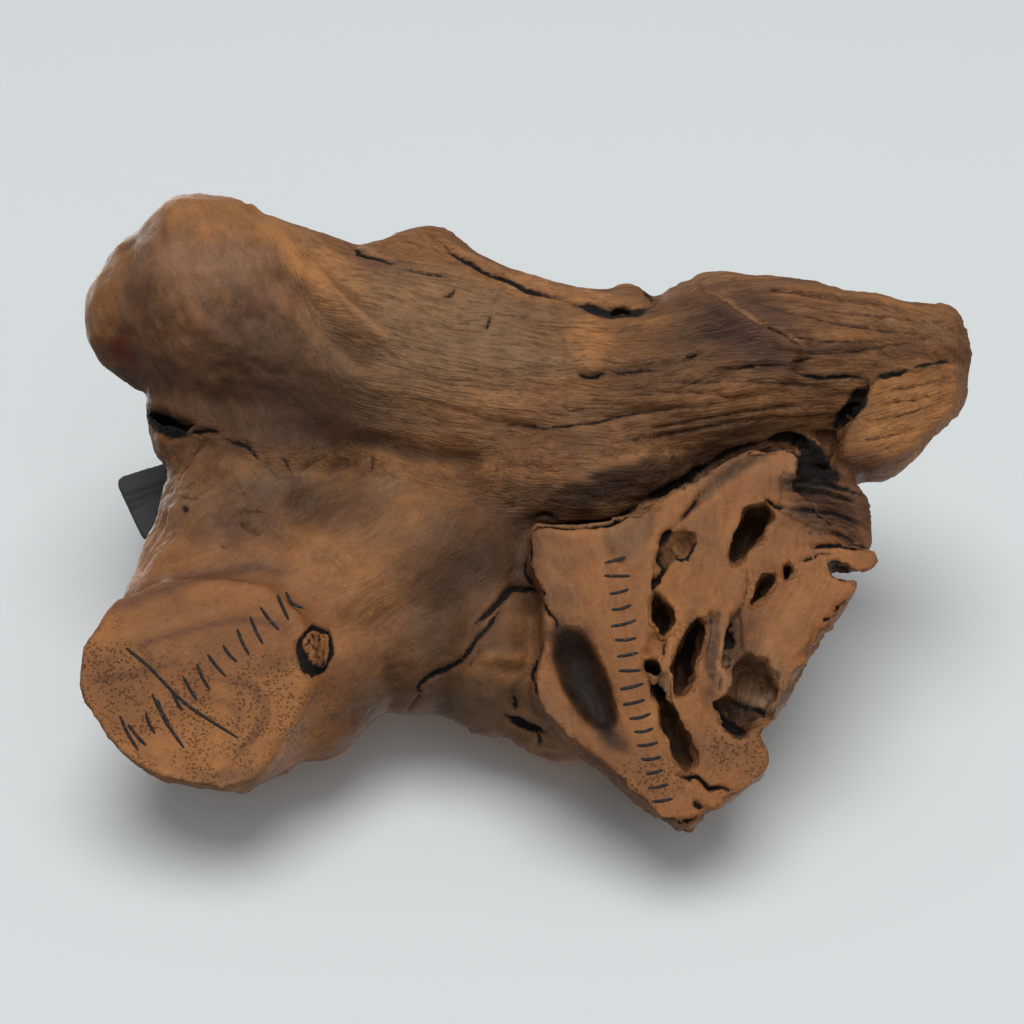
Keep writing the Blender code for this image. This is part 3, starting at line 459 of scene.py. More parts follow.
# Noise: its fade between the lattice's corners, what mixes their numbers, and its gain

FADE = np.array((6, -15, 10))
HASH_X = np.uint32(374761393)
HASH_Y = np.uint32(668265263)
HASH_Z = np.uint32(2246822519)
HASH_MIX = np.uint32(1274126177)
NOISE_GAIN = 1.7


def corner_slope(cell, seed):
    """A repeatable slope for each lattice corner."""
    h = cell[0] * HASH_X + cell[1] * HASH_Y + cell[2] * HASH_Z + np.uint32(seed) * HASH_MIX
    h = (h ^ (h >> np.uint32(13))) * HASH_MIX
    h = h ^ (h >> np.uint32(16))
    parts = [((h >> np.uint32(shift)) & np.uint32(1023)).astype(np.float32) for shift in (0, 10, 20)]
    return [part / 511.5 - 1 for part in parts]


def noise(points, seed):
    """Smooth noise, about -1 to 1, with features about one unit apart."""
    base = np.floor(points)
    local = (points - base).astype(np.float32)
    cells = base.astype(np.int64).astype(np.uint32)
    fade = local**3 * (FADE[0] * local**2 + FADE[1] * local + FADE[2])
    total = np.zeros(len(points), np.float32)
    for corner in np.ndindex(2, 2, 2):
        cell = [cells[:, i] + np.uint32(corner[i]) for i in range(3)]
        slope = corner_slope(cell, seed)
        part = sum(slope[i] * (local[:, i] - corner[i]) for i in range(3))
        for i in range(3):
            part = part * (fade[:, i] if corner[i] else 1 - fade[:, i])
        total += part
    return total * NOISE_GAIN


def cloud(points, octaves, seed):
    """Several octaves of noise, each at half the size and half the strength."""
    total = 0
    for octave in range(octaves):
        total = total + noise(points * 2**octave, seed + octave) * 0.5**octave
    return total


# Places on the sheet and in the photograph


def sheet_offset():
    """Where the sheet's middle lies in the frame, in millimetres."""
    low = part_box("driftwood")[0]
    return np.array((low.x / MM - SHEET_CORNER[0], low.y / MM - SHEET_CORNER[1], 0))


OFFSET = sheet_offset()


def to_photo(points):
    """Pixels of the photograph for points of the scene, in metres."""
    x, y, z = (points / MM - OFFSET).T
    sin, cos = math.sin(CAMERA_TILT), math.cos(CAMERA_TILT)
    reach = CAMERA_DISTANCE - y * sin + z * cos
    return np.stack([x, y * cos + z * sin], axis=1) * FOCAL_PIXELS / reach[:, None] + PHOTO_CENTRE


def sheet_at(pixels, z=0.0):
    """The point of the sheet, at this height in millimetres, that a pixel shows."""
    a, b = (np.array(pixels, float) - PHOTO_CENTRE).T / FOCAL_PIXELS
    sin, cos = math.sin(CAMERA_TILT), math.cos(CAMERA_TILT)
    y = (b * (CAMERA_DISTANCE + z * cos) - z * sin) / (cos + b * sin)
    x = a * (CAMERA_DISTANCE - y * sin + z * cos)
    return np.stack([x, y], axis=1)


def curve(route, steps=4):
    """A smooth curve through a route's points."""
    rows = np.array(route, float)
    padded = np.vstack([2 * rows[0] - rows[1], rows, 2 * rows[-1] - rows[-2]])
    out = []
    for before, start, end, after in zip(padded, padded[1:], padded[2:], padded[3:]):
        for t in np.arange(steps) / steps:
            ease = (end - before) * t + (2 * before - 5 * start + 4 * end - after) * t**2
            out.append(start + 0.5 * (ease + (3 * start - 3 * end + after - before) * t**3))
    return np.vstack([out, rows[-1]])


def from_route(points, route, reach):
    """Distance from a route, the share of its length passed there, and the side, within a reach."""
    line = curve(route)
    low, high = line.min(axis=0) - reach, line.max(axis=0) + reach
    near = np.flatnonzero(((points > low) & (points < high)).all(axis=1))
    spot = points[near]
    best = np.full(len(spot), np.inf)
    share, side = np.zeros(len(spot)), np.ones(len(spot))
    steps = np.linalg.norm(np.diff(line, axis=0), axis=1)
    passed = np.concatenate([[0], np.cumsum(steps)])
    for i, (start, end) in enumerate(zip(line, line[1:])):
        way = end - start
        away = spot - start
        t = np.clip(away @ way / steps[i] ** 2, 0, 1)
        distance = np.linalg.norm(away - t[:, None] * way, axis=1)
        closer = distance < best
        best[closer] = distance[closer]
        share[closer] = (passed[i] + t[closer] * steps[i]) / passed[-1]
        side[closer] = np.sign(way[1] * away[closer, 0] - way[0] * away[closer, 1])
    return near, best, share, side


def inside(points, outline):
    """Which points lie inside an outline."""
    x, y = points.T
    hit = np.zeros(len(points), bool)
    ring = np.array(outline, float)
    for (x1, y1), (x2, y2) in zip(ring, np.roll(ring, -1, axis=0)):
        crosses = (y1 > y) != (y2 > y)
        if y1 != y2:
            hit ^= crosses & (x < (x2 - x1) * (y - y1) / (y2 - y1) + x1)
    return hit


def edge_distance(points, outline, reach):
    """Signed distance to an outline, positive inside it, up to a reach."""
    distance = np.full(len(points), float(reach))
    ring = list(outline) + [outline[0]]
    for start, end in zip(ring, ring[1:]):
        start, way = np.array(start, float), np.subtract(end, start)
        t = np.clip((points - start) @ way / (way @ way), 0, 1)
        distance = np.minimum(distance, np.linalg.norm(points - start - t[:, None] * way, axis=1))
    return np.where(inside(points, outline), distance, -distance)


# Meshes


def coordinates(mesh):
    co = np.empty(len(mesh.vertices) * 3, np.float32)
    mesh.vertices.foreach_get("co", co)
    return co.reshape(-1, 3).astype(float)


def place(mesh, co):
    mesh.vertices.foreach_set("co", co.astype(np.float32).ravel())
    mesh.update()


def normals(mesh):
    out = np.empty(len(mesh.vertices) * 3, np.float32)
    mesh.vertex_normals.foreach_get("vector", out)
    return out.reshape(-1, 3).astype(float)


def edge_ends(mesh):
    ends = np.empty(len(mesh.edges) * 2, np.int32)
    mesh.edges.foreach_get("vertices", ends)
    return ends.reshape(-1, 2)


def neighbour_counts(ends, count):
    return np.maximum(np.bincount(ends.ravel(), minlength=count), 1)


def neighbour_mean(co, ends, counts):
    """The mean of each vertex's neighbours."""
    out = np.empty_like(co)
    for axis in range(co.shape[1]):
        total = np.bincount(ends[:, 0], co[ends[:, 1], axis], len(co))
        total += np.bincount(ends[:, 1], co[ends[:, 0], axis], len(co))
        out[:, axis] = total / counts
    return out


def relax(mesh, passes, share, shrink_back=1.03):
    """Smooths a mesh by shares for each vertex, and puts back what smoothing shrinks."""
    ends = edge_ends(mesh)
    co = coordinates(mesh)
    counts = neighbour_counts(ends, len(co))
    share = np.broadcast_to(share, len(co))[:, None]
    for step in range(passes):
        gain = 0.5 if step % 2 == 0 else -0.5 * shrink_back
        co = co + gain * share * (neighbour_mean(co, ends, counts) - co)
    place(mesh, co)


def link(made):
    bpy.context.scene.collection.objects.link(made)
    return made


def new_object(name, bm):
    """A new object of the scene from a finished bmesh."""
    mesh = bpy.data.meshes.new(name)
    bm.to_mesh(mesh)
    bm.free()
    return link(bpy.data.objects.new(name, mesh))


def copy_of(node, name):
    """A new object with a copy of a CAD node's mesh."""
    made = bpy.data.objects.new(name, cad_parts[node].data.copy())
    made.data.materials.clear()
    return link(made)


def apply(thing):
    """Replaces an object's mesh by what its modifiers make of it."""
    graph = bpy.context.evaluated_depsgraph_get()
    mesh = bpy.data.meshes.new_from_object(thing.evaluated_get(graph))
    thing.modifiers.clear()
    thing.data = mesh
    return mesh


def remesh(thing, voxel):
    """Gives an object one even skin."""
    skin = thing.modifiers.new("Skin", "REMESH")
    skin.mode = "VOXEL"
    skin.voxel_size = voxel
    skin.use_smooth_shade = True
    return apply(thing)


def sharp_points(mesh, angle, pitch):
    """Points along a mesh's sharp edges."""
    bm = bmesh.new()
    bm.from_mesh(mesh)
    points = []
    for edge in bm.edges:
        if len(edge.link_faces) != 2 or edge.calc_face_angle() > angle:
            count = max(2, int(edge.calc_length() / pitch) + 1)
            start, end = (vert.co for vert in edge.verts)
            points += [start.lerp(end, i / (count - 1)) for i in range(count)]
    bm.free()
    return points


def distance_to(points, targets):
    tree = KDTree(len(targets))
    for i, target in enumerate(targets):
        tree.insert(target, i)
    tree.balance()
    return np.array([tree.find(point)[2] for point in points])


def opaque(colours):
    """Colours with an alpha of 1."""
    return np.concatenate([colours, np.ones((len(colours), 1))], axis=1)


def store(mesh, name, values):
    """Keeps a value, a vector or a colour for each vertex."""
    kinds = {1: ("FLOAT", "value"), 3: ("FLOAT_VECTOR", "vector"), 4: ("FLOAT_COLOR", "color")}
    values = np.asarray(values, np.float32)
    kind, field = kinds[1 if values.ndim == 1 else values.shape[1]]
    kept = mesh.attributes.new(name, kind, "POINT")
    kept.data.foreach_set(field, values.ravel())


def turned(points, angle):
    """Points seen along an axis that is turned by an angle on the sheet."""
    cos, sin = math.cos(angle), math.sin(angle)
    x, y, z = points.T
    return np.stack([x * cos + y * sin, y * cos - x * sin, z], axis=1)


def taper(share, reach):
    """How strong a line still is at a share of its length: 0 at its ends and 1 beyond this reach."""
    return smooth(0, reach, share) * smooth(0, reach, 1 - share)


# The wood's zones and grain


class Wood:
    """Where each vertex of the wood lies: on the sheet, in the photograph, in its zone and its grain."""

    def __init__(self, co, normal, foot_blend):
        self.foot_blend = foot_blend
        self.sheet = co / MM - OFFSET
        x, y, z = self.sheet.T
        warp = np.stack([cloud(self.sheet / 2.6, 2, WARP_SEED + i) for i in range(2)], axis=1)
        self.photo = to_photo(co)
        self.drawn = self.photo + warp * LINE_STRAY
        wander = np.stack([cloud(self.sheet / 4, 3, WARP_SEED + 8 + i) for i in range(2)], axis=1)
        self.stained = self.photo + wander * STAIN_STRAY
        self.facing = normal @ SIGHT
        self.seen = smooth(-0.12, 0.3, self.facing)
        self.down = -normal[:, 2]
        border = edge_distance(self.photo, LIMB_BORDER + ABOVE_PHOTO, 60)
        self.limb = smooth(-8, 8, border)
        stump = edge_distance(self.photo, STUMP_FACE, 60)
        self.stump = smooth(-10, 10, stump) * (1 - self.limb)
        self.leg = 1 - self.limb - self.stump
        middle = np.interp(x, LIMB_X, LIMB_Y)
        fan = 1 + 0.25 * smooth(55, 90, x)
        wave = 1.1 * cloud(self.sheet / (17, 9, 9), 2, WARP_SEED + 5)
        self.limb_grain = np.stack([x, (y - middle) * fan + wave, z], axis=1)
        tip = inside(self.photo, TIP_PIECE)
        self.limb_grain[tip] = turned(self.sheet, TIP_TURN)[tip]
        way = np.subtract(LEG_END, LEG_START)
        self.leg_grain = turned(self.sheet - (*LEG_START, 0), math.atan2(way[1], way[0]))
        self.leg_grain[:, 1] += 2 * wave
        from_knob = self.photo[:, 0] - 0.3 * self.photo[:, 1] + 60
        self.knob = smooth(8, 30, border) * smooth(330, 240, from_knob)
        at_knob = border > 8
        self.leg_grain[at_knob] = turned(self.sheet, KNOB_TURN)[at_knob]
        self.leg_share = np.where(at_knob, self.knob * self.limb, self.leg)
        self.limb_share = self.limb - np.where(at_knob, self.knob * self.limb, 0)
        from_focus = self.sheet[:, :2] - STUMP_FOCUS
        far = np.linalg.norm(from_focus, axis=1)
        turn = np.arctan2(from_focus[:, 0], -from_focus[:, 1])
        self.stump_grain = np.stack([far, turn * 45 + wave, z * 1.4], axis=1)
        strands = inside(self.photo, STRANDS)
        self.stump_grain[strands] = turned(self.sheet, STRAND_TURN)[strands]
        self.sanded = smooth(0.35, 0.05, z) * smooth(0.9, 0.97, self.down)
        self.hollow = self.stump * smooth(3, 8, stump) * smooth(0.5, 1.6, z) * self.seen
        from_bird = np.hypot(x + OFFSET[0] - BIRD_PLACE[0], y + OFFSET[1] - BIRD_PLACE[1])
        self.perch = smooth(26, 12, from_bird) * smooth(30, 38, z)

    def streaks(self, long, short, octaves, seed):
        """Noise drawn out along the grain, of this length and thickness in millimetres."""
        size = (long, short, short)
        total = self.limb_share * cloud(self.limb_grain / size, octaves, seed)
        total += self.leg_share * cloud(self.leg_grain / size, octaves, seed + 40)
        total += self.stump * cloud(self.stump_grain / size, octaves, seed + 80)
        return total

    def patch(self, x, y, half_width, half_height, turn=0):
        """A soft patch round a pixel of the photograph: 1 in its middle and 0 well outside."""
        angle = math.radians(turn)
        away = self.stained - (x, y)
        along = (away @ (math.cos(angle), math.sin(angle))) / half_width
        across = (away @ (-math.sin(angle), math.cos(angle))) / half_height
        return np.exp(-((along**2 + across**2) ** 1.5))

    def patched(self, level, patches):
        """A level with soft patches added to it."""
        for *spot, strength in patches:
            level = level + strength * self.patch(*spot)
        return level


def roughness_map(wood):
    """How strongly the grain stands out, zone by zone."""
    patchy = 0.75 + 0.5 * cloud(wood.sheet / 16, 2, RELIEF_SEED + 50)
    limb = 0.55 + 0.55 * smooth(560, 700, wood.photo[:, 0])
    limb = wood.patched(limb * (1 - 0.85 * wood.knob), LIMB_RELIEF)
    leg = wood.patched(0.45, LEG_RELIEF)
    stump = wood.patched(0.25, STUMP_RELIEF)
    seen = wood.limb * limb + wood.leg * leg + wood.stump * stump
    hidden = 1.9 - 0.9 * smooth(-50, -75, wood.sheet[:, 0])
    hidden = hidden * (1 - 0.8 * wood.perch)
    return (wood.seen * seen + (1 - wood.seen) * hidden) * np.clip(patchy, 0.2, 1.5)


def grain_relief(wood):
    """Relief of the wood's grain in millimetres, outwards."""
    strength = roughness_map(wood)
    relief = 0.42 * wood.streaks(26, 4.2, 2, RELIEF_SEED)
    relief += 0.34 * wood.streaks(12, 1.6, 2, RELIEF_SEED + 5)
    crease = wood.streaks(30, 3.2, 2, RELIEF_SEED + 9)
    relief -= 0.8 * smooth(0.4, 0.9, crease)
    relief *= strength
    relief += 0.5 * cloud(wood.sheet / 14, 2, RELIEF_SEED + 20)
    back = smooth(-0.15, -0.6, wood.facing) * (1 - wood.perch)
    relief += back * 1.6 * cloud(wood.sheet / (34, 22, 22), 2, RELIEF_SEED + 70)
    relief += back * 0.9 * wood.streaks(60, 9, 2, RELIEF_SEED + 72)
    mottle = wood.knob * wood.seen * wood.patch(240, 340, 110, 90)
    relief += 0.4 * mottle * cloud(wood.leg_grain / (3.2, 1.8, 1.8), 2, RELIEF_SEED + 25)
    wrinkle = wood.seen * wood.patched(0, WRINKLES)
    relief += 0.35 * wrinkle * cloud(wood.sheet / (2.2, 1.5, 1.5), 2, RELIEF_SEED + 27)
    strand = turned(wood.sheet, STRAND_TURN) / (8, 0.8, 0.8)
    relief += 0.75 * wood.patch(832, 506, 40, 30) * cloud(strand, 2, RELIEF_SEED + 35) * (1 - wood.sanded)
    fibres = cloud(wood.limb_grain / (3.4, 1.3, 1.3), 2, RELIEF_SEED + 37)
    relief += 0.36 * wood.patched(0, ROUGH_FIBRES) * fibres
    pits = smooth(0.5, 0.9, noise(wood.sheet / 0.9, RELIEF_SEED + 33))
    relief = relief * (1 - 0.97 * wood.sanded) - 0.12 * pits * wood.sanded
    return relief * (1 - 0.5 * wood.foot_blend)


def carve(wood):
    """Relief of the wood in millimetres, outwards, and the painted shade in its cracks, grooves and gaps,
    with the knot's dark ring.
    """
    relief = grain_relief(wood)
    crack_shade_and_knot = np.zeros(len(relief))
    jitter = 1 + 0.35 * noise(wood.sheet / 1.6, RELIEF_SEED + 30)
    for route, width, height in RIDGES:
        near, distance, share, _ = from_route(wood.drawn, route, width * SCALE * 2)
        bell = np.exp(-((distance / (width * SCALE / 1.4)) ** 2))
        flat = 1 - wood.sanded[near] * (height > 0)
        relief[near] += height * taper(share, 0.25) * bell * wood.seen[near] * flat
    for route, height, fade in LEDGES:
        near, distance, share, side = from_route(wood.drawn, route, fade * SCALE * 2)
        ends = (share > 0.001) & (share < 0.999)
        signed = distance * side * np.sign(height)
        rise = smooth(-2.2, 2.2, signed) * np.exp(-np.maximum(signed, 0) / (fade * SCALE * 0.6))
        relief[near] += abs(height) * taper(share, 0.12) * rise * ends * wood.seen[near]
    for outline, depth, soft, _, _ in PLATES:
        relief -= depth * plate(wood, outline, soft)
    for route, width, depth, dark in GROOVES:
        near, distance, share, _ = from_route(wood.drawn, route, 30)
        full = taper(share, 0.3)
        half = width * SCALE / 2 * (0.3 + 0.7 * full) * np.clip(jitter[near], 0.2, 2)
        fall = np.clip(1 - distance / (half * 1.4 + 1.8), 0, 1)
        relief[near] -= depth * (0.3 + 0.7 * full) * fall * wood.seen[near]
        # Painted shade: each groove darkens along its middle
        mark = np.clip(1.3 - distance / (half + 1.4), 0, 1) * dark * (0.45 + 0.55 * full)
        crack_shade_and_knot[near] = np.maximum(crack_shade_and_knot[near], mark * wood.seen[near])
    # Splits on the hidden side, cut in and darkened with painted shade
    splits = smooth(0.06, 0.0, abs(wood.streaks(46, 7, 2, RELIEF_SEED + 60)))
    splits *= smooth(0.0, 0.4, cloud(wood.sheet / 18, 2, RELIEF_SEED + 62))
    splits *= (1 - wood.seen) * (1 - 0.8 * wood.perch)
    relief -= 1.1 * splits
    crack_shade_and_knot = np.maximum(crack_shade_and_knot, 0.75 * splits)
    below = smooth(36, 30, wood.sheet[:, 2])
    # Painted shade: the gaps' insides are blackened
    for spot in GAPS:
        crack_shade_and_knot = np.maximum(crack_shade_and_knot, 1.2 * wood.patch(*spot) * below)
    return knot(wood, relief, crack_shade_and_knot)


def plate(wood, outline, soft):
    """How far each point lies inside a plate's outline: 1 well inside and 0 outside."""
    ring = np.array(outline, float)
    low, high = ring.min(axis=0) - soft, ring.max(axis=0) + soft
    near = np.flatnonzero(((wood.drawn > low) & (wood.drawn < high)).all(axis=1))
    share = np.zeros(len(wood.drawn))
    share[near] = smooth(-soft, soft, edge_distance(wood.drawn[near], outline, 3 * soft)) * wood.seen[near]
    return share


def knot(wood, relief, crack_shade_and_knot):
    """Adds the foot's knot: a ragged black ring, thickest at its lower left, round a rough middle."""
    away = (wood.drawn - KNOT) / KNOT_SIZE
    ring = np.linalg.norm(away, axis=1) + 0.13 * noise(wood.sheet / 2.2, RELIEF_SEED + 40)
    thick = 0.17 + 0.3 * smooth(0.2, 1.3, away[:, 1] - away[:, 0])
    thick += 0.08 * noise(wood.sheet / 1.2, RELIEF_SEED + 42)
    trench = np.clip(1 - abs(ring - 0.95) / np.maximum(thick, 0.08), 0, 1) * wood.seen
    inner = smooth(1, 0.8, ring) * wood.seen
    relief = relief - 0.8 * smooth(0, 0.6, trench)
    relief += inner * (0.1 + 0.4 * cloud(wood.sheet / 1.2, 2, RELIEF_SEED + 41))
    crack_shade_and_knot = np.maximum(crack_shade_and_knot, smooth(0.1, 0.7, trench))
    speckle = smooth(-0.1, 0.5, noise(wood.sheet / 0.9, RELIEF_SEED + 43))
    return relief, np.maximum(crack_shade_and_knot, inner * 0.62 * speckle)


# What turns the named colours into the wood's own, in linear light
WARMTH = np.array((0.9, 0.83, 0.74))

# Stains, and painted shade under the limb's ledge and in a hollow: middle, half width, half height and
# turn in the photo, colour, strength
STAINS_AND_SHADE = (
    (230, 212, 80, 26, 12, ORANGE, 0.5),
    (100, 280, 20, 50, 10, ORANGE, 0.3),
    (215, 270, 40, 22, -10, PINKISH, 0.8),
    (160, 262, 22, 14, -20, PINKISH, 0.6),
    (262, 345, 62, 42, 30, PURPLE_BROWN, 0.75),
    (140, 300, 20, 34, -20, PURPLE_BROWN, 0.6),
    (121, 347, 13, 12, 0, RED_BROWN, 0.85),
    (160, 350, 40, 26, 40, PURPLE_BROWN, 0.35),
    (140, 385, 30, 14, 40, PURPLE_BROWN, 0.5),
    (200, 400, 80, 30, 20, DARK_BROWN, 0.7),
    (320, 402, 80, 44, 20, DARK_BROWN, 0.85),
    (334, 292, 40, 30, 50, ORANGE, 0.95),
    (290, 248, 42, 12, 50, ORANGE, 0.6),
    (348, 340, 70, 9, 42, PURPLE_BROWN, 0.6),
    (420, 395, 60, 10, 30, ORANGE, 0.35),
    (450, 350, 110, 56, 5, GREY_BROWN, 0.85),
    (430, 300, 76, 26, 5, GREY_BROWN, 0.7),
    (380, 262, 30, 10, 20, PURPLE_BROWN, 0.4),
    (410, 250, 36, 10, 5, ORANGE, 0.4),
    (500, 400, 60, 18, 0, PALE_ORANGE, 0.4),
    (590, 340, 20, 20, 40, ORANGE, 0.75),
    (575, 385, 24, 12, 0, ORANGE, 0.4),
    (560, 296, 90, 9, 14, ORANGE, 0.5),
    (640, 395, 100, 34, -5, DARK_BROWN, 0.25),
    (556, 464, 22, 8, -10, RED_BROWN, 0.6),
    # Painted shade in the dark strip under the limb's ledge
    (600, 488, 70, 15, -22, BLACK_BROWN, 0.85),
    (690, 464, 66, 11, -30, BLACK_BROWN, 0.7),
    (430, 520, 60, 26, 0, ORANGE, 0.35),
    (430, 462, 70, 10, 5, ORANGE, 0.35),
    (748, 334, 50, 26, 25, PURPLE_BROWN, 0.95),
    (762, 307, 32, 11, 28, PURPLE_BROWN, 0.8),
    (700, 330, 36, 26, 0, DARK_BROWN, 0.6),
    (740, 395, 90, 20, -3, DARK_BROWN, 0.3),
    (880, 352, 70, 7, 2, DARK_BROWN, 0.6),
    (900, 300, 60, 16, 12, ORANGE, 0.3),
    (905, 412, 54, 34, -30, ORANGE, 0.5),
    (866, 462, 34, 14, 0, RED_BROWN, 0.45),
    (850, 420, 12, 30, 30, DARK_BROWN, 0.5),
    (480, 550, 60, 50, 0, DARK_BROWN, 0.75),
    (440, 620, 40, 60, 20, DARK_BROWN, 0.7),
    (510, 628, 26, 34, 0, BROWN, 0.6),
    (505, 664, 28, 9, 0, PALE_ORANGE, 0.6),
    (470, 712, 70, 26, 0, SLATE_BROWN, 0.6),
    (510, 730, 40, 20, 20, BROWN, 0.4),
    (290, 510, 80, 26, 20, BROWN, 0.5),
    (330, 560, 50, 26, 30, ORANGE, 0.45),
    (276, 488, 36, 9, 5, SLATE_BROWN, 0.7),
    (166, 484, 8, 16, 0, SLATE_BROWN, 0.6),
    (225, 450, 40, 14, 10, DARK_BROWN, 0.35),
    (150, 560, 30, 30, 0, PALE_ORANGE, 0.5),
    (360, 600, 40, 50, 0, PALE_ORANGE, 0.5),
    (350, 700, 50, 34, -20, DARK_BROWN, 0.45),
    (215, 515, 50, 24, 0, PURPLE_BROWN, 0.45),
    (184, 508, 5, 5, 0, RED_BROWN, 0.8),
    (235, 640, 90, 44, -20, SANDED * 0.8, 0.4),
    (120, 700, 40, 40, 0, BROWN, 0.4),
    (556, 600, 20, 14, 20, BROWN, 0.4),
    (838, 506, 34, 27, 20, BLACK_BROWN, 0.8),
    # Painted shade in a narrow hollow of the stump
    (742, 640, 11, 30, 15, DARK_BROWN, 0.75),
    (718, 655, 6, 40, 4, SLATE_BROWN, 0.7),
    (764, 676, 20, 20, 0, SLATE_BROWN, 0.6),
    (660, 642, 9, 11, 0, PALE_ORANGE, 0.9),
    (678, 542, 14, 10, 0, HOLLOW_BROWN, 0.8),
    (625, 535, 22, 20, 10, GREY_BROWN, 0.5),
    (720, 468, 34, 12, -30, SLATE_BROWN, 0.55),
    (806, 600, 70, 12, -58, ORANGE, 0.4),
    (690, 585, 40, 40, 0, ORANGE, 0.25),
    (640, 780, 30, 26, 40, BROWN, 0.45),
    (735, 755, 30, 30, 0, BROWN, 0.3),
)

# Stains, painted shadows and painted highlights that lie over all others
LATE_STAINS_SHADE_AND_HIGHLIGHTS = (
    (330, 508, 50, 24, 5, DARK_BROWN, 0.65),
    (300, 540, 40, 22, 20, BROWN, 0.45),
    (280, 436, 54, 18, 5, DARK_BROWN, 0.6),
    (240, 520, 42, 22, 0, DARK_BROWN, 0.45),
    (320, 404, 60, 38, 15, DARK_BROWN, 0.4),
    (500, 402, 54, 18, 0, PALE_FACE, 0.45),
    (430, 298, 50, 22, 5, PALE_FACE, 0.3),
    (740, 398, 76, 18, -3, PALE_ORANGE, 0.5),
    (900, 418, 54, 30, -30, ORANGE, 0.45),
    (862, 462, 32, 13, 10, DARK_BROWN, 0.6),
    (745, 338, 46, 20, 25, PURPLE_BROWN, 0.5),
    (495, 556, 46, 36, 0, DARK_BROWN, 0.45),
    (500, 640, 24, 24, 0, DARK_BROWN, 0.55),
    (440, 680, 36, 32, 0, DARK_BROWN, 0.35),
    (520, 598, 16, 14, 0, DARK_BROWN, 0.45),
    (222, 650, 42, 24, -15, BROWN, 0.45),
    (200, 742, 66, 36, 0, ORANGE, 0.55),
    (288, 704, 34, 46, 0, ORANGE, 0.5),
    (185, 500, 22, 16, 0, GREY_BROWN, 0.4),
    (600, 752, 38, 22, 40, BROWN, 0.5),
    (698, 564, 36, 32, 0, BROWN, 0.5),
    (121, 349, 13, 11, 0, RED_BROWN * 1.5, 0.75),
    (586, 688, 17, 46, -26, GROOVE_STAIN, 1.0),
    (568, 645, 19, 22, -20, GROOVE_STAIN, 1.0),
    (611, 728, 11, 16, -26, GROOVE_STAIN, 0.95),
    (580, 664, 26, 44, -24, BLACK_BROWN, 0.5),
    # Painted shadow in the slot under the splinter
    (616, 313, 36, 5, 2, BLACK_BROWN, 0.9),
    (688, 742, 8, 24, -20, WARM_FACE, 0.8),
    (560, 596, 26, 14, 20, GREY_FACE, 0.5),
    (700, 530, 16, 26, 20, GREY_FACE, 0.35),
    (690, 584, 34, 18, 0, ORANGE_FACE, 0.4),
    (775, 640, 30, 14, -50, PALE_FACE, 0.3),
    (760, 540, 20, 30, 30, GREY_FACE, 0.3),
    (720, 750, 30, 16, 0, GREY_FACE, 0.3),
    (555, 560, 16, 22, 0, PALE_FACE, 0.35),
    (780, 470, 18, 14, 0, PALE_FACE, 0.4),
    (752, 684, 26, 26, 0, RECESS_BROWN, 0.95),
    # Painted highlight on the recess's lower right, and painted shade in its dark band below
    (764, 702, 12, 9, 30, RECESS_HIGHLIGHT_GREY, 0.8),
    (740, 716, 22, 9, 35, BLACK_BROWN, 0.7),
    (836, 506, 38, 32, 15, STRAND_BROWN, 0.8),
    # Painted shadow at the upper edge of the stump's strands
    (806, 484, 28, 11, 5, BLACK_BROWN, 1.0),
    (828, 506, 40, 24, 12, BLACK_BROWN, 0.4),
    (594, 704, 12, 42, -24, SOOT, 0.6),
    (245, 778, 62, 11, 0, GREY_FACE, 0.75),
    (560, 632, 12, 14, 0, GROOVE_STAIN, 0.8),
    (622, 745, 8, 12, -30, GROOVE_STAIN, 0.7),
    (657, 690, 6, 16, -20, BLACK_BROWN, 0.7),
    # Painted shadow: a black blob among the strands
    (800, 510, 12, 6, 10, BLACK_BROWN, 0.8),
    (692, 640, 10, 30, 8, BLACK_BROWN, 0.6),
    (669, 672, 3, 34, -3, PALE_FACE, 0.7),
    # Painted highlight along a ridge's edge
    (721, 662, 3, 44, -3, PALE_FACE, 0.8),
)

# Dark lines of growth on the sanded foot, soft lines elsewhere, and painted shade along the fold below the
# knob and in the grooves beside its ridges: route, width, strength
VEINS_AND_SHADE_LINES = (
    (((100, 614), (157, 590), (205, 575), (254, 565), (300, 572)), 3.4, 0.7),
    (((125, 648), (162, 638), (196, 628), (230, 621), (262, 622), (300, 630)), 1.3, 0.65),
    (((88, 683), (133, 674), (157, 668), (186, 660)), 1.3, 0.6),
    (((215, 677), (244, 684), (261, 699), (264, 718), (249, 742), (230, 759)), 1.6, 0.6),
    (((182, 700), (220, 700), (240, 715), (232, 736)), 1.0, 0.5),
    (((255, 672), (290, 660), (310, 650)), 3.0, 0.35),
    # Painted shade along the fold below the knob
    (((340, 442), (387, 444), (407, 455), (454, 458), (493, 458)), 1.6, 0.5),
    (((205, 470), (250, 500), (300, 505), (345, 520)), 1.4, 0.4),
    (((262, 463), (290, 480), (330, 484), (380, 470)), 1.2, 0.4),
    # Painted shade in the grooves beside the knob's ridges
    (((322, 284), (348, 314), (374, 338), (404, 364)), 1.0, 0.5),
    (((280, 262), (312, 300), (344, 334), (380, 366)), 1.0, 0.4),
    (((600, 535), (612, 560), (608, 600)), 1.6, 0.2),
    (((716, 600), (730, 560), (760, 540)), 1.2, 0.2),
)
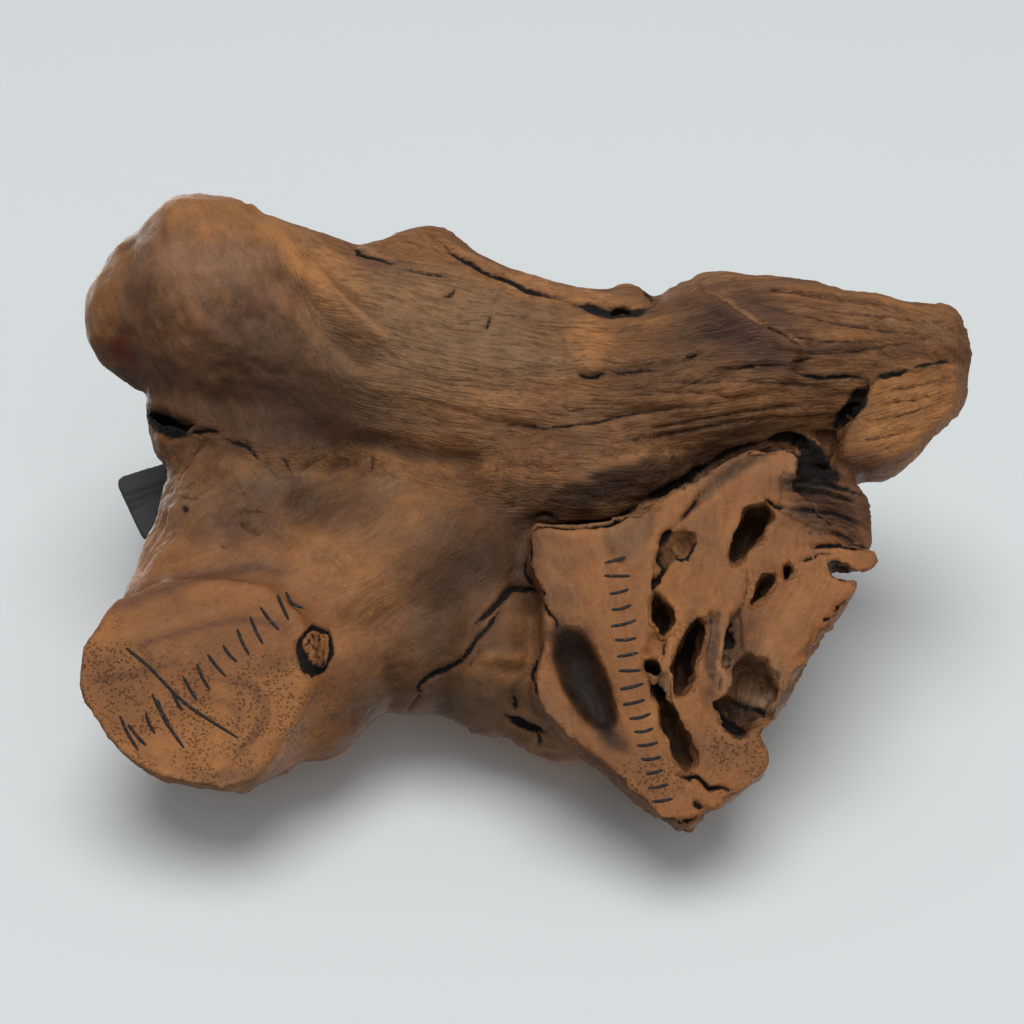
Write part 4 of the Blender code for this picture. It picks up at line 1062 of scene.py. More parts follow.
# Pale lines where edges catch the light: route, width, strength
LIT_LINES = (
    (((702, 289), (712, 296), (727, 302), (748, 316), (761, 323), (783, 331), (797, 340),
      (812, 352)), 0.8, 0.9),
    (((432, 230), (456, 250), (502, 276), (552, 294), (600, 300), (640, 298)), 0.9, 0.5),
    (((578, 304), (600, 309), (626, 309), (648, 303)), 0.6, 0.6),
    (((352, 240), (376, 255), (400, 264)), 0.8, 0.5),
    (((570, 366), (590, 369), (606, 366)), 0.8, 0.5),
    (((540, 470), (600, 462), (660, 452), (720, 440)), 1.4, 0.35),
    (((305, 262), (330, 286), (360, 316), (392, 344)), 3.2, 0.3),
    (((208, 568), (254, 560), (290, 570)), 1.6, 0.3),
    (((118, 640), (150, 628), (190, 618), (230, 612)), 2.4, 0.3),
    (((120, 664), (150, 655), (190, 645)), 2.0, 0.3),
)


def blend(colour, other, share):
    """A colour for each vertex, with a share of the other in it."""
    return colour + share[:, None] * (other - colour)


def tint(wood):
    """The wood's broad colours, with painted shade in hollows, under ledges and in folds, and painted
    highlights on some edges.
    """
    count = len(wood.sheet)
    streak = wood.streaks(30, 3.0, 3, STREAK_SEED)
    mottle = cloud(wood.sheet / 9, 3, STAIN_SEED)
    leather = cloud(wood.sheet / 3.4, 3, STAIN_SEED + 20)
    bare = wood.seen * np.maximum(wood.knob, 0.6 * wood.leg)
    back = 1 - wood.seen
    shade = np.tile(BROWN, (count, 1))
    for colour, strength, low, high, value, where in (
        (ORANGE, 0.35, 0, 0.9, streak, 1),
        (DARK_BROWN, 0.45, 0, 0.9, -streak, 1),
        (GREY_BROWN, 0.5, -0.1, 0.7, mottle, 1),
        (PINKISH, 0.55, 0.1, 0.7, leather, bare),
        (PURPLE_BROWN, 0.55, 0.1, 0.7, -leather, bare),
        (GREY_BROWN * 1.15, 0.6, 0, 0.8, wood.streaks(40, 7, 3, STREAK_SEED + 4), back),
        (DARK_BROWN, 0.55, 0.1, 0.8, wood.streaks(34, 5, 3, STREAK_SEED + 6), back),
        (ORANGE, 0.5, 0.1, 0.8, cloud(wood.sheet / 15, 3, STREAK_SEED + 8), back),
    ):
        shade = blend(shade, colour, strength * where * smooth(low, high, value))
    worn = smooth(-0.2, 0.8, cloud(wood.sheet / 11, 3, STAIN_SEED + 9))
    face = blend(np.tile(SANDED, (count, 1)), ORANGE, 0.35 * worn)
    shade = blend(shade, face, np.maximum(wood.sanded, wood.stump * wood.seen * (1 - wood.hollow)))
    near_foot = wood.foot_blend * wood.seen * (1 - wood.sanded)
    shade = blend(shade, SANDED, 0.75 * near_foot)
    for x, y, half_width, half_height, turn, colour, strength in STAINS_AND_SHADE:
        soft = wood.patch(x, y, half_width * 1.25, half_height * 1.25, turn)
        shade = blend(shade, colour, strength * soft * wood.seen)
    shade = blend(shade, HOLLOW_BROWN, 0.8 * wood.hollow)
    # Painted shade: the deeper in the stump's hollows, the nearer to black-brown
    shade = blend(shade, BLACK_BROWN, 0.8 * wood.hollow * smooth(3, 10, wood.sheet[:, 2]))
    for outline, _, soft, colour, strength in PLATES:
        shade = blend(shade, colour, strength * plate(wood, outline, soft))
    for *spot, colour, strength in LATE_STAINS_SHADE_AND_HIGHLIGHTS:
        shade = blend(shade, colour, strength * wood.patch(*spot) * wood.seen)
    for lines, colour in ((VEINS_AND_SHADE_LINES, PURPLE_BROWN), (LIT_LINES, PALE_FACE)):
        for route, width, strength in lines:
            near, distance, share, _ = from_route(wood.drawn, route, width * SCALE * 1.5)
            line = np.exp(-((distance / (width * SCALE / 2)) ** 2)) * taper(share, 0.15)
            shade[near] = blend(shade[near], colour, line * strength * wood.seen[near])
    return shade * WARMTH


def nudge(co):
    """Moves the outline by a pixel or a few, where the photo's differs."""
    photo = to_photo(co)
    moved = co.copy()
    reach = FOCAL_PIXELS / (CAMERA_DISTANCE + (co[:, 2] / MM) * math.cos(CAMERA_TILT))
    for x, y, right, down, radius in NUDGES:
        share = np.exp(-(((photo - (x, y)) ** 2).sum(axis=1)) / radius**2)
        moved[:, 0] += share * right / reach * MM
        moved[:, 1] += share * down / reach / math.cos(CAMERA_TILT) * MM
    stump = smooth(-4, 8, edge_distance(photo, STUMP_FACE, 12))
    for axis in range(2):
        moved[:, axis] += RIM_WANDER * stump * cloud(co / MM / 2.8, 2, WARP_SEED + 12 + axis) * MM
    return moved


def close_gap(mesh):
    """Adds the wood that lies behind the gap between the stump's tongue and the limb, where the gap is
    painted black as shade.
    """
    bm = bmesh.new()
    bm.from_mesh(mesh)
    spot = sheet_at([GAP], GAP_HEIGHT)[0]
    middle = Matrix.Translation(Vector((*spot, GAP_HEIGHT)) * MM + Vector(OFFSET) * MM)
    bmesh.ops.create_icosphere(bm, subdivisions=4, radius=GAP_RADIUS * MM, matrix=middle)
    bm.to_mesh(mesh)
    bm.free()


def blended_share(mesh):
    """How strongly each vertex is smoothed where the foot runs into the leg, and in the stained groove."""
    photo = to_photo(coordinates(mesh))
    share = np.zeros(len(photo))
    down = smooth(-0.1, 0.2, -normals(mesh)[:, 2])
    near, distance, _, _ = from_route(photo, FOOT_BLEND, 60)
    share[near] = smooth(52, 16, distance)
    soft = np.zeros(len(photo))
    for route, reach in SOFT_PLACES:
        near, distance, _, _ = from_route(photo, route, reach)
        soft[near] = np.maximum(soft[near], smooth(reach, reach / 2, distance))
    return share * down, soft * down


def fine_zone(mesh, sharp):
    """Which vertices the photograph shows with fine forms: rims, plates, grooves and strands."""
    co = coordinates(mesh)
    photo = to_photo(co)
    seen = facing_of(mesh) > -0.1
    stump = seen & (edge_distance(photo, STUMP_FACE, 10) > -4)
    fine = np.zeros(len(co), bool)
    rim = np.flatnonzero(stump)
    fine[rim] = distance_to(co[rim], sharp) < RIM_REACH * MM
    for route in [row[0] for row in GROOVES]:
        near, distance, _, _ = from_route(photo, route, 20)
        fine[near[distance < GROOVE_REACH]] = True
    for outline in [row[0] for row in PLATES]:
        fine |= abs(edge_distance(photo, outline, 9)) < PLATE_REACH
    fine |= np.linalg.norm((photo - KNOT) / KNOT_SIZE, axis=1) < 1.4
    fine |= edge_distance(photo, STRANDS, 9) > 0
    return fine & seen


def refine(mesh, fine):
    """Splits the chosen faces."""
    bm = bmesh.new()
    bm.from_mesh(mesh)
    edges = [edge for edge in bm.edges if fine[edge.verts[0].index] and fine[edge.verts[1].index]]
    bmesh.ops.subdivide_edges(bm, edges=edges, cuts=1, use_grid_fill=True)
    bm.to_mesh(mesh)
    bm.free()
    mesh.update()


def even_out(mesh, sharp):
    """Smooths the solid's facets, fits the outline and splits the mesh where its forms are fine."""
    co = coordinates(mesh)
    edge = distance_to(co, sharp) / MM
    above = smooth(0.1, 0.5, normals(mesh)[:, 2]) * smooth(8, 16, co[:, 2] / MM)
    relax(mesh, FACET_PASSES, smooth(*EDGE_REACH, edge))
    from_bird = np.hypot(*(co[:, :2] / MM - BIRD_PLACE[:2]).T)
    relax(mesh, TOP_PASSES, above * smooth(12, 24, from_bird), 0)
    place(mesh, nudge(coordinates(mesh)))
    foot_blend, groove_blend = blended_share(mesh)
    relax(mesh, BLEND_PASSES, foot_blend, 0)
    relax(mesh, SOFT_PASSES, groove_blend, 0)
    relax(mesh, 2, 1.0)
    refine(mesh, fine_zone(mesh, sharp))
    relax(mesh, 2, 1.0)


def swell_of(mesh):
    """How far each vertex stands out from those round it, in millimetres."""
    co, ends = coordinates(mesh), edge_ends(mesh)
    counts = neighbour_counts(ends, len(co))
    swell = ((co - neighbour_mean(co, ends, counts)) * normals(mesh)).sum(axis=1) / MM
    for _ in range(3):
        swell = neighbour_mean(swell[:, None], ends, counts)[:, 0]
    return swell


def make_driftwood():
    """The driftwood, with its relief and what its material reads."""
    wood_piece = copy_of("driftwood", "driftwood_carving")
    sharp = sharp_points(wood_piece.data, SHARP_EDGE, MM)
    close_gap(wood_piece.data)
    mesh = remesh(wood_piece, WOOD_VOXEL)
    even_out(mesh, sharp)
    co, normal = coordinates(mesh), normals(mesh)
    wood = Wood(co, normal, blended_share(mesh)[0])
    relief, crack_shade_and_knot = carve(wood)
    place(mesh, co + normal * relief[:, None] * MM)
    streaky = 1 - 0.8 * wood.knob * wood.seen - 0.75 * wood.leg * wood.seen
    streaky = streaky * (1 - 0.8 * wood.patch(586, 684, 30, 64, -26))
    store(mesh, "tone", opaque(tint(wood)))
    # Painted shade in cracks, grooves and gaps, and the knot's dark ring
    store(mesh, "crack_shade_and_knot", crack_shade_and_knot)
    # How far each vertex stands out, which paints highlights on ridges and shade in hollows
    store(mesh, "swell", swell_of(mesh))
    store(mesh, "sanded", np.maximum(wood.sanded, 0.6 * wood.foot_blend))
    store(mesh, "streaky", streaky)
    store(mesh, "pores", smooth(0.1, 0.8, wood.patched(0, PORES)) * wood.seen)
    store(mesh, "limb_grain", wood.limb_grain)
    store(mesh, "leg_grain", wood.leg_grain)
    store(mesh, "stump_grain", wood.stump_grain)
    store(mesh, "leg_share", wood.leg_share)
    store(mesh, "stump_share", wood.stump)
    thin(wood_piece)
    return wood_piece


def triangles_of(mesh):
    return len(mesh.loops) - 2 * len(mesh.polygons)


def facing_of(mesh):
    """How much each vertex faces the camera: 1 straight at it and -1 straight away."""
    return normals(mesh) @ SIGHT


def thin(thing):
    """Thins the side that the photograph doesn't show, until the piece has its number of triangles."""
    hidden = 1 - smooth(-0.3, -0.05, facing_of(thing.data))
    group = thing.vertex_groups.new(name="Hidden")
    for level in range(1, THIN_LEVELS + 1):
        chosen = np.flatnonzero(np.ceil(hidden * THIN_LEVELS) == level)
        group.add(chosen.tolist(), level / THIN_LEVELS, "REPLACE")
    fewer = thing.modifiers.new("Fewer", "DECIMATE")
    fewer.ratio = min(1.0, WOOD_TRIANGLES / triangles_of(thing.data))
    fewer.vertex_group = group.name
    apply(thing)


# Materials


def new_material(name):
    made = bpy.data.materials.new(name)
    made.use_nodes = True
    tree = made.node_tree
    return made, tree, tree.nodes["Principled BSDF"]


def add(tree, kind, settings=None, **inputs):
    """A new node; an input is a value or another node's output."""
    node = tree.nodes.new(kind)
    for key, value in (settings or {}).items():
        setattr(node, key, value)
    for key, value in inputs.items():
        socket = node.inputs[int(key[1:])] if key[1:].isdigit() else node.inputs[key.replace("_", " ")]
        if isinstance(value, bpy.types.NodeSocket):
            tree.links.new(value, socket)
        else:
            socket.default_value = value
    return node


def attribute(tree, name, output="Fac"):
    return add(tree, "ShaderNodeAttribute", {"attribute_name": name}).outputs[output]


def maths(tree, operation, first, second):
    return add(tree, "ShaderNodeMath", {"operation": operation}, _0=first, _1=second).outputs[0]


def product(tree, first, second):
    return maths(tree, "MULTIPLY", first, second)


def ramp(tree, value, low, high, start=0.0, end=1.0):
    """A smooth step of a value from one level to another."""
    settings = {"interpolation_type": "SMOOTHSTEP"}
    levels = {"From_Min": low, "From_Max": high, "To_Min": start, "To_Max": end}
    return add(tree, "ShaderNodeMapRange", settings, Value=value, **levels).outputs[0]


def mix_colours(tree, share, first, second, mode="MIX"):
    made = tree.nodes.new("ShaderNodeMix")
    made.data_type = "RGBA"
    made.blend_type = mode
    for socket, value in ((made.inputs[0], share), (made.inputs[6], first), (made.inputs[7], second)):
        if isinstance(value, bpy.types.NodeSocket):
            tree.links.new(value, socket)
        else:
            socket.default_value = value
    return made.outputs[2]


def rgba(colour):
    return (*[float(part) for part in colour], 1.0)


def noise_texture(tree, vector, scale, detail=2.0, roughness=0.5):
    inputs = {"Vector": vector, "Scale": scale, "Detail": detail, "Roughness": roughness}
    return add(tree, "ShaderNodeTexNoise", None, **inputs).outputs["Fac"]


def stretched(tree, vector, long, short, detail, roughness=0.6):
    """Noise drawn out along the grain, of this length and thickness in millimetres."""
    scale = (1 / long, 1 / short, 1 / short)
    mapping = add(tree, "ShaderNodeMapping", {"vector_type": "POINT"}, Vector=vector, Scale=scale)
    return noise_texture(tree, mapping.outputs[0], 1.0, detail, roughness)


def own_place(tree):
    return add(tree, "ShaderNodeTexCoord").outputs["Object"]


def layered(tree, values, layers):
    """Lays the darker and the lighter colour over the tone, layer by layer."""
    colour = values["tone"]
    for name, levels, strength, where, other in layers:
        share = product(tree, values[name], strength)
        if levels:
            share = ramp(tree, values[name], *levels, 0.0, strength)
        if where:
            share = product(tree, share, values[where])
        colour = mix_colours(tree, share, colour, values[other])
    return colour


def raise_surface(tree, shader, height, strength, reach):
    """Bumps a surface by a height, over a reach in millimetres."""
    bump = add(tree, "ShaderNodeBump", None, Height=height, Strength=strength, Distance=reach * MM)
    tree.links.new(bump.outputs[0], shader.inputs["Normal"])


def pick(tree, share, first, second):
    """The first vector where the share is 0, and the second where it is 1."""
    made = tree.nodes.new("ShaderNodeMix")
    made.data_type = "VECTOR"
    for socket, value in ((made.inputs[0], share), (made.inputs[4], first), (made.inputs[5], second)):
        tree.links.new(value, socket)
    return made.outputs[1]


def grain_place(tree, stray):
    """A point's place along the grain of its zone, between borders that are as ragged as a noise."""
    leg, stump = attribute(tree, "leg_share"), attribute(tree, "stump_share")
    stump_lead = maths(tree, "ADD", stump, maths(tree, "SUBTRACT", stray, 0.5))
    leg_lead = maths(tree, "ADD", maths(tree, "ADD", leg, leg), stump_lead)
    limb, along_leg = attribute(tree, "limb_grain", "Vector"), attribute(tree, "leg_grain", "Vector")
    place_of = pick(tree, maths(tree, "GREATER_THAN", leg_lead, 1.0), limb, along_leg)
    at_stump = maths(tree, "GREATER_THAN", stump_lead, 0.5)
    return pick(tree, at_stump, place_of, attribute(tree, "stump_grain", "Vector"))


# Noises of the wood: scale, detail and roughness. Then those along its grain: length and thickness in
# millimetres, and detail
WOOD_NOISES = {"speckle": (800.0, 5.0, 0.7), "blotch": (190.0, 5.0, 0.5)}
WOOD_GRAINS = {
    "fine": (12.0, 0.45, 4.0),
    "dashes": (3.2, 0.3, 2.0),
    "broad": (26.0, 1.5, 4.0),
    "fibres": (2.4, 1.0, 5.0),
}
# What turns the wood's tone into its darker and its lighter colour
WOOD_DARK = (0.48, 0.43, 0.40, 1)
WOOD_LIGHT = (1.45, 1.38, 1.28, 1)
PORE_SCALE = 1700.0

# Layers of the wood's colour: what it follows, from and to which level or as it is, strength, where,
# and which colour it lays on
WOOD_LAYERS = (
    ("broad", (0.5, 0.78), 0.6, "contrast", "dark"),
    ("broad", (0.5, 0.25), 0.4, "contrast", "light"),
    ("blotch", (0.5, 0.75), 0.45, None, "dark"),
    ("blotch", (0.5, 0.28), 0.4, None, "light"),
    ("fine", (0.5, 0.72), 1.0, "contrast", "dark"),
    ("fine", (0.5, 0.28), 0.6, "contrast", "light"),
    ("dashes", (0.58, 0.74), 0.6, "contrast", "dark"),
    ("fibres", (0.5, 0.7), 0.65, "rough_wood", "dark"),
    ("fibres", (0.5, 0.32), 0.5, "rough_wood", "light"),
    ("speckle", (0.52, 0.74), 0.5, None, "dark"),
    ("speckle", (0.48, 0.28), 0.4, None, "light"),
    # Swell: ridges lighter as a painted highlight, hollows darker as painted shade
    ("swell", (0.0, 0.05), 0.4, None, "light"),
    ("swell", (0.0, -0.06), 0.7, None, "dark"),
    ("holes", None, 0.9, None, "dark"),
    # Ragged: painted shade in cracks and gaps, and the knot's dark ring, dark to black
    ("ragged", (0.14, 0.5), 0.7, None, "dark"),
    ("ragged", (0.34, 0.66), 1.0, None, "black"),
)
# How high each stands out in the wood's bump, and where
WOOD_HEIGHTS = (
    ("fine", 0.9, "contrast"),
    ("dashes", 0.4, "contrast"),
    ("fibres", 1.4, "rough_wood"),
    ("speckle", 0.4, None),
    ("blotch", 0.5, None),
    ("holes", -0.35, None),
)


def wood_values(tree):
    """What the wood's colour and bump are made of."""
    values = {"tone": attribute(tree, "tone", "Color"), "swell": attribute(tree, "swell")}
    for name, (scale, detail, roughness) in WOOD_NOISES.items():
        values[name] = noise_texture(tree, own_place(tree), scale, detail, roughness)
    grain = grain_place(tree, values["blotch"])
    for name, (long, short, detail) in WOOD_GRAINS.items():
        values[name] = stretched(tree, grain, long, short, detail)
    values["dark"] = mix_colours(tree, 1.0, values["tone"], WOOD_DARK, "MULTIPLY")
    values["light"] = mix_colours(tree, 1.0, values["tone"], WOOD_LIGHT, "MULTIPLY")
    values["black"] = rgba(CRACK_BLACK)
    unsanded = maths(tree, "SUBTRACT", 1.0, product(tree, attribute(tree, "sanded"), 0.8))
    values["contrast"] = product(tree, unsanded, attribute(tree, "streaky"))
    values["rough_wood"] = maths(tree, "ADD", 0.15, product(tree, values["contrast"], 0.85))
    pore = add(tree, "ShaderNodeTexVoronoi", None, Vector=own_place(tree), Scale=PORE_SCALE)
    holes = product(tree, ramp(tree, pore.outputs["Distance"], 0.44, 0.2), attribute(tree, "pores"))
    values["holes"] = product(tree, holes, ramp(tree, values["blotch"], 0.34, 0.54))
    # The painted shade of cracks and gaps, and the knot's dark ring, with ragged edges
    ragged = attribute(tree, "crack_shade_and_knot")
    for name, strength in (("fine", 0.35), ("speckle", 0.7)):
        stray = product(tree, maths(tree, "SUBTRACT", values[name], 0.5), strength)
        ragged = maths(tree, "ADD", ragged, stray)
    values["ragged"] = ragged
    return values


def wood_material():
    made, tree, shader = new_material("weathered_wood")
    values = wood_values(tree)
    tree.links.new(layered(tree, values, WOOD_LAYERS), shader.inputs["Base Color"])
    shader.inputs["Specular IOR Level"].default_value = 0.22
    black = ramp(tree, values["ragged"], 0.34, 0.66)
    rough = maths(tree, "ADD", ramp(tree, values["fine"], 0.3, 0.7, 0.52, 0.75), product(tree, black, 0.2))
    tree.links.new(rough, shader.inputs["Roughness"])
    height = 0.0
    for name, strength, where in WOOD_HEIGHTS:
        part = product(tree, values[name], strength)
        if where:
            part = product(tree, part, values[where])
        height = maths(tree, "ADD", height, part)
    raise_surface(tree, shader, height, 0.9, 0.45)
    return made


# The bird


def bird_points(points):
    """Points of the scene in the bird's own frame, in millimetres."""
    away = points / MM - BIRD_PLACE
    return turned(away, BIRD_TURN)


def along_line(x, z, line):
    """Where points lie along a line in x and z: how far along it, and how far above it."""
    best = np.full(len(x), np.inf)
    along, above = np.zeros(len(x)), np.zeros(len(x))
    passed = 0.0
    for (x1, z1), (x2, z2) in zip(line, line[1:]):
        length = math.hypot(x2 - x1, z2 - z1)
        way = ((x2 - x1) / length, (z2 - z1) / length)
        t = np.clip((x - x1) * way[0] + (z - z1) * way[1], 0, length)
        distance = np.hypot(x - x1 - t * way[0], z - z1 - t * way[1])
        closer = distance < best
        best[closer] = distance[closer]
        along[closer] = (passed + t)[closer]
        side = (z - z1) * way[0] - (x - x1) * way[1]
        above[closer] = side[closer]
        passed += length
    return along, above


def scallops(u, v):
    """Overlapping feathers in rows: how far a point is along its own feather, and off its middle."""
    row = np.floor(u)
    for back in (0, 1):
        k = row - back
        off = 0.5 * np.mod(k, 2)
        across = v - off - np.round(v - off)
        reach = 1 + FEATHER_TIP * np.sqrt(np.clip(1 - (2 * across) ** 2, 0, 1))
        share = (u - k) / reach
        if back == 0:
            along, off_middle = share, across
        else:
            on_top = share < 1
            along = np.where(on_top, share, along)
            off_middle = np.where(on_top, across, off_middle)
    return np.clip(along, 0, 1), off_middle


SLATE = linear(74, 78, 84)
CROWN = linear(44, 46, 50)
WING_GREY = linear(58, 60, 64)
WING_EDGE = linear(132, 130, 126)
BELLY = linear(206, 199, 186)
CHEEK = linear(186, 184, 178)
FLANK = linear(166, 128, 94)
TAIL_GREY = linear(58, 59, 61)
BILL_DARK = linear(40, 38, 36)
GAPE_BLACK = linear(16, 14, 13)
WIRE_DARK = linear(50, 44, 40)
WIRE_WORN = linear(78, 68, 60)
INK_DARK = linear(24, 20, 19)
INK_THIN = linear(66, 48, 36)
GLASS_DARK = (0.006, 0.004, 0.003, 1)
GLASS_LIGHT = (0.016, 0.010, 0.007, 1)


class Bird:
    """Where each vertex of the bird lies: along its body, on its own feather, and in its zone."""

    def __init__(self, co, normal):
        x, y, z = self.place = bird_points(co).T
        self.up = normal[:, 2]
        self.jag = 0.12 * noise(co / MM / 1.3, BIRD_SEED)
        along, self.above = along_line(x, z, BODY_LINE)
        length = sum(math.dist(start, end) for start, end in zip(BODY_LINE, BODY_LINE[1:]))
        self.back = length - along
        self.around = np.arctan2(y, self.above)
        self.small = smooth(12, 34, self.back)
        u = self.back / FEATHER_LENGTH * (1.5 - 0.5 * self.small)
        v = self.around * BODY_RADIUS / FEATHER_WIDTH * (1.15 - 0.15 * np.round(self.small))
        self.share, self.off_middle = scallops(u, v)
        wing_x, wing_y, wing_z, wing_deep = np.array(WING, float).T
        side_y, side_z, deep = (np.interp(-x, -wing_x, row) for row in (wing_y, wing_z, wing_deep))
        self.height = (z - side_z) / deep
        self.vane = np.mod(self.height * FLIGHT_FEATHERS + 0.5, 1)
        high = abs(self.height)
        reach = smooth(1.22, 1.0, high) * smooth(17.5, 14.5, x) * smooth(-42, -39, x)
        self.wing = reach * smooth(-1.6, -0.2, abs(y) - side_y + 0.35 * high * deep * (high > 0.7))
        self.coverts = self.wing * smooth(-9, -5, x + 1.2 * self.height)
        self.flight = self.wing * (1 - self.coverts)
        self.tail = smooth(TAIL_FROM + 1, TAIL_FROM - 3, x) * smooth(21, 20, z)
        self.bill = smooth(BILL_FROM - 0.4, BILL_FROM + 0.3, x - 0.14 * abs(z - 49))
        legs = smooth(14.2, 13, z) * smooth(8, 6, abs(x)) * (abs(y) > 2)
        self.bare = np.maximum.reduce([self.tail, self.bill, self.flight, legs])


def feather_relief(bird, co):
    """Relief of the bird's feathers in millimetres, outwards."""
    relief = FEATHER_STEP * (bird.share - 0.5) * (1 - bird.bare) * (0.5 + 0.5 * bird.small)
    relief += 0.05 * cloud(co / MM / 4, 2, BIRD_SEED + 2) * (1 - bird.bill)
    barb = np.abs(np.sin(bird.off_middle * BARB_TURNS + bird.share * 3)) * BARB_DEPTH * (1 - bird.bare)
    groove = smooth(0.12, 0.0, bird.vane) + smooth(0.9, 1.0, bird.vane)
    relief -= FLIGHT_GROOVE * groove * bird.flight
    return relief - barb


def plumage(bird):
    """The bird's painted colours."""
    x, y, z = bird.place
    above = bird.above
    low = smooth(0.25, -0.35, bird.up + 0.25 * bird.jag - 0.12)
    rim = (BODY_RADIUS - abs(above)) / BODY_RADIUS
    pale = smooth(0.2, -0.5, above / 14 + bird.jag) * smooth(-0.2, 0.15, rim + 0.4)
    colour = np.tile(SLATE, (len(x), 1))
    colour = blend(colour, BELLY, np.clip(np.maximum(pale, low * 0.9), 0, 1))
    flank = smooth(3, 9, abs(y)) * smooth(4, -6, above) * smooth(26, 14, x) * smooth(-26, -12, x)
    colour = blend(colour, FLANK, 0.75 * flank * (1 - bird.wing))
    eye_x, eye_z = EYE_AT
    cheek = smooth(8, 5.5, np.hypot((x - 33.5) * 0.8, (z - 47.2) * 1.25)) * smooth(4, 7, abs(y))
    colour = blend(colour, CHEEK, cheek)
    crown = smooth(-0.8, 0.8, z - (eye_z + 0.6 - 0.24 * (eye_x - x)) + 5 * bird.jag) * smooth(16, 21, x)
    colour = blend(colour, CROWN, crown * (1 - bird.bill))
    stripe = smooth(2.0, 1.1, abs(z - eye_z + 0.1 * (x - eye_x)))
    stripe *= smooth(22, 27, x) * smooth(3, 5, abs(y))
    colour = blend(colour, CROWN, 0.9 * stripe)
    chin = smooth(46.5, 44.5, z) * smooth(32, 36, x) * smooth(6, 4, abs(y))
    colour = blend(colour, CHEEK, 0.6 * chin)
    tip = smooth(0.72, 1.0, bird.share) * (1 - bird.bare) * (1 - crown)
    colour = colour * (1 + 0.20 * tip - 0.14 * smooth(0.5, 0.0, bird.share) * (1 - bird.bare))[:, None]
    colour = blend(colour, WING_GREY, bird.coverts)
    colour = blend(colour, WING_EDGE, bird.coverts * 0.65 * smooth(0.78, 0.95, bird.share))
    colour = blend(colour, WING_GREY * 0.75, bird.flight)
    edge = smooth(0.22, 0.08, bird.vane) * bird.flight
    colour = blend(colour, WING_EDGE, 0.75 * edge)
    bar = smooth(0.9, 0.5, abs(x + 6.2 + 1.2 * bird.height)) * bird.wing
    colour = blend(colour, BELLY, 0.7 * bar)
    colour = blend(colour, TAIL_GREY, bird.tail)
    colour = blend(colour, BILL_DARK, bird.bill)
    gape = smooth(0.35, 0.1, abs(z - (49 - 0.12 * (x - 40)))) * bird.bill
    colour = blend(colour, GAPE_BLACK, gape)
    near_eye = np.hypot(x - eye_x, z - eye_z)
    ring = smooth(EYE_RADIUS + 1.1, EYE_RADIUS + 0.7, near_eye) * smooth(7, 9, abs(y))
    colour = blend(colour, CROWN * 0.5, ring)
    ring = smooth(0.5, 0.2, abs(near_eye - EYE_RADIUS - 1.2)) * smooth(7, 9, abs(y))
    colour = blend(colour, CHEEK, 0.5 * ring * (1 - stripe))
    return np.clip(colour, 0, 1)


def feather_bird(mesh):
    """Gives the bird its feathers' relief, and what its material reads."""
    co, normal = coordinates(mesh), normals(mesh)
    bird = Bird(co, normal)
    x, y, z = bird.place
    back_way = np.array((-math.cos(BIRD_TURN), -math.sin(BIRD_TURN), 0))
    longer = TAIL_LONGER * smooth(-34, -52, x)
    relief = feather_relief(bird, co)
    place(mesh, co + (normal * relief[:, None] + longer[:, None] * back_way) * MM)
    store(mesh, "tone", opaque(plumage(bird)))
    barbs = np.stack([bird.back, bird.around * BODY_RADIUS, np.hypot(y, bird.above)], axis=1)
    straight = np.stack([x, y, z], axis=1)
    store(mesh, "barb_grain", np.where((bird.tail > 0.5)[:, None], straight, barbs))
    store(mesh, "gloss", np.maximum(bird.bill, 0.4 * bird.flight))


BIRD_DARK = (0.6, 0.6, 0.6, 1)
BIRD_LIGHT = (1.28, 1.27, 1.25, 1)
# Layers of the bird's colour, as for the wood
BIRD_LAYERS = (
    ("barbs", (0.52, 0.74), 0.6, None, "dark"),
    ("barbs", (0.48, 0.28), 0.6, None, "light"),
    ("strokes", (0.5, 0.75), 0.35, None, "dark"),
)


def bird_material():
    made, tree, shader = new_material("painted_feathers")
    tone = attribute(tree, "tone", "Color")
    grain = attribute(tree, "barb_grain", "Vector")
    values = {
        "tone": tone,
        "barbs": stretched(tree, grain, 3.0, 0.22, 3.0),
        "strokes": stretched(tree, grain, 6.0, 1.1, 3.0),
        "dark": mix_colours(tree, 1.0, tone, BIRD_DARK, "MULTIPLY"),
        "light": mix_colours(tree, 1.0, tone, BIRD_LIGHT, "MULTIPLY"),
    }
    tree.links.new(layered(tree, values, BIRD_LAYERS), shader.inputs["Base Color"])
    gloss = attribute(tree, "gloss")
    tree.links.new(ramp(tree, gloss, 0.0, 1.0, 0.62, 0.32), shader.inputs["Roughness"])
    shader.inputs["Specular IOR Level"].default_value = 0.35
    raise_surface(tree, shader, values["barbs"], 0.6, 0.16)
    return made


def make_bird():
    bird = copy_of("bird_body", "bird_carving")
    sharp = sharp_points(bird.data, BIRD_SHARP_EDGE, BIRD_PITCH)
    mesh = remesh(bird, BIRD_VOXEL)
    edge = distance_to(coordinates(mesh), sharp) / MM
    relax(mesh, 50, smooth(0.4, 1.6, edge))
    relax(mesh, 3, 0.6)
    feather_bird(mesh)
    return bird


def leg_material():
    made, tree, shader = new_material("painted_wire")
    flakes = noise_texture(tree, own_place(tree), 900.0, 3.0)
    colour = mix_colours(tree, ramp(tree, flakes, 0.4, 0.65), rgba(WIRE_DARK), rgba(WIRE_WORN))
    tree.links.new(colour, shader.inputs["Base Color"])
    shader.inputs["Roughness"].default_value = 0.42
    raise_surface(tree, shader, flakes, 0.5, 0.1)
    return made


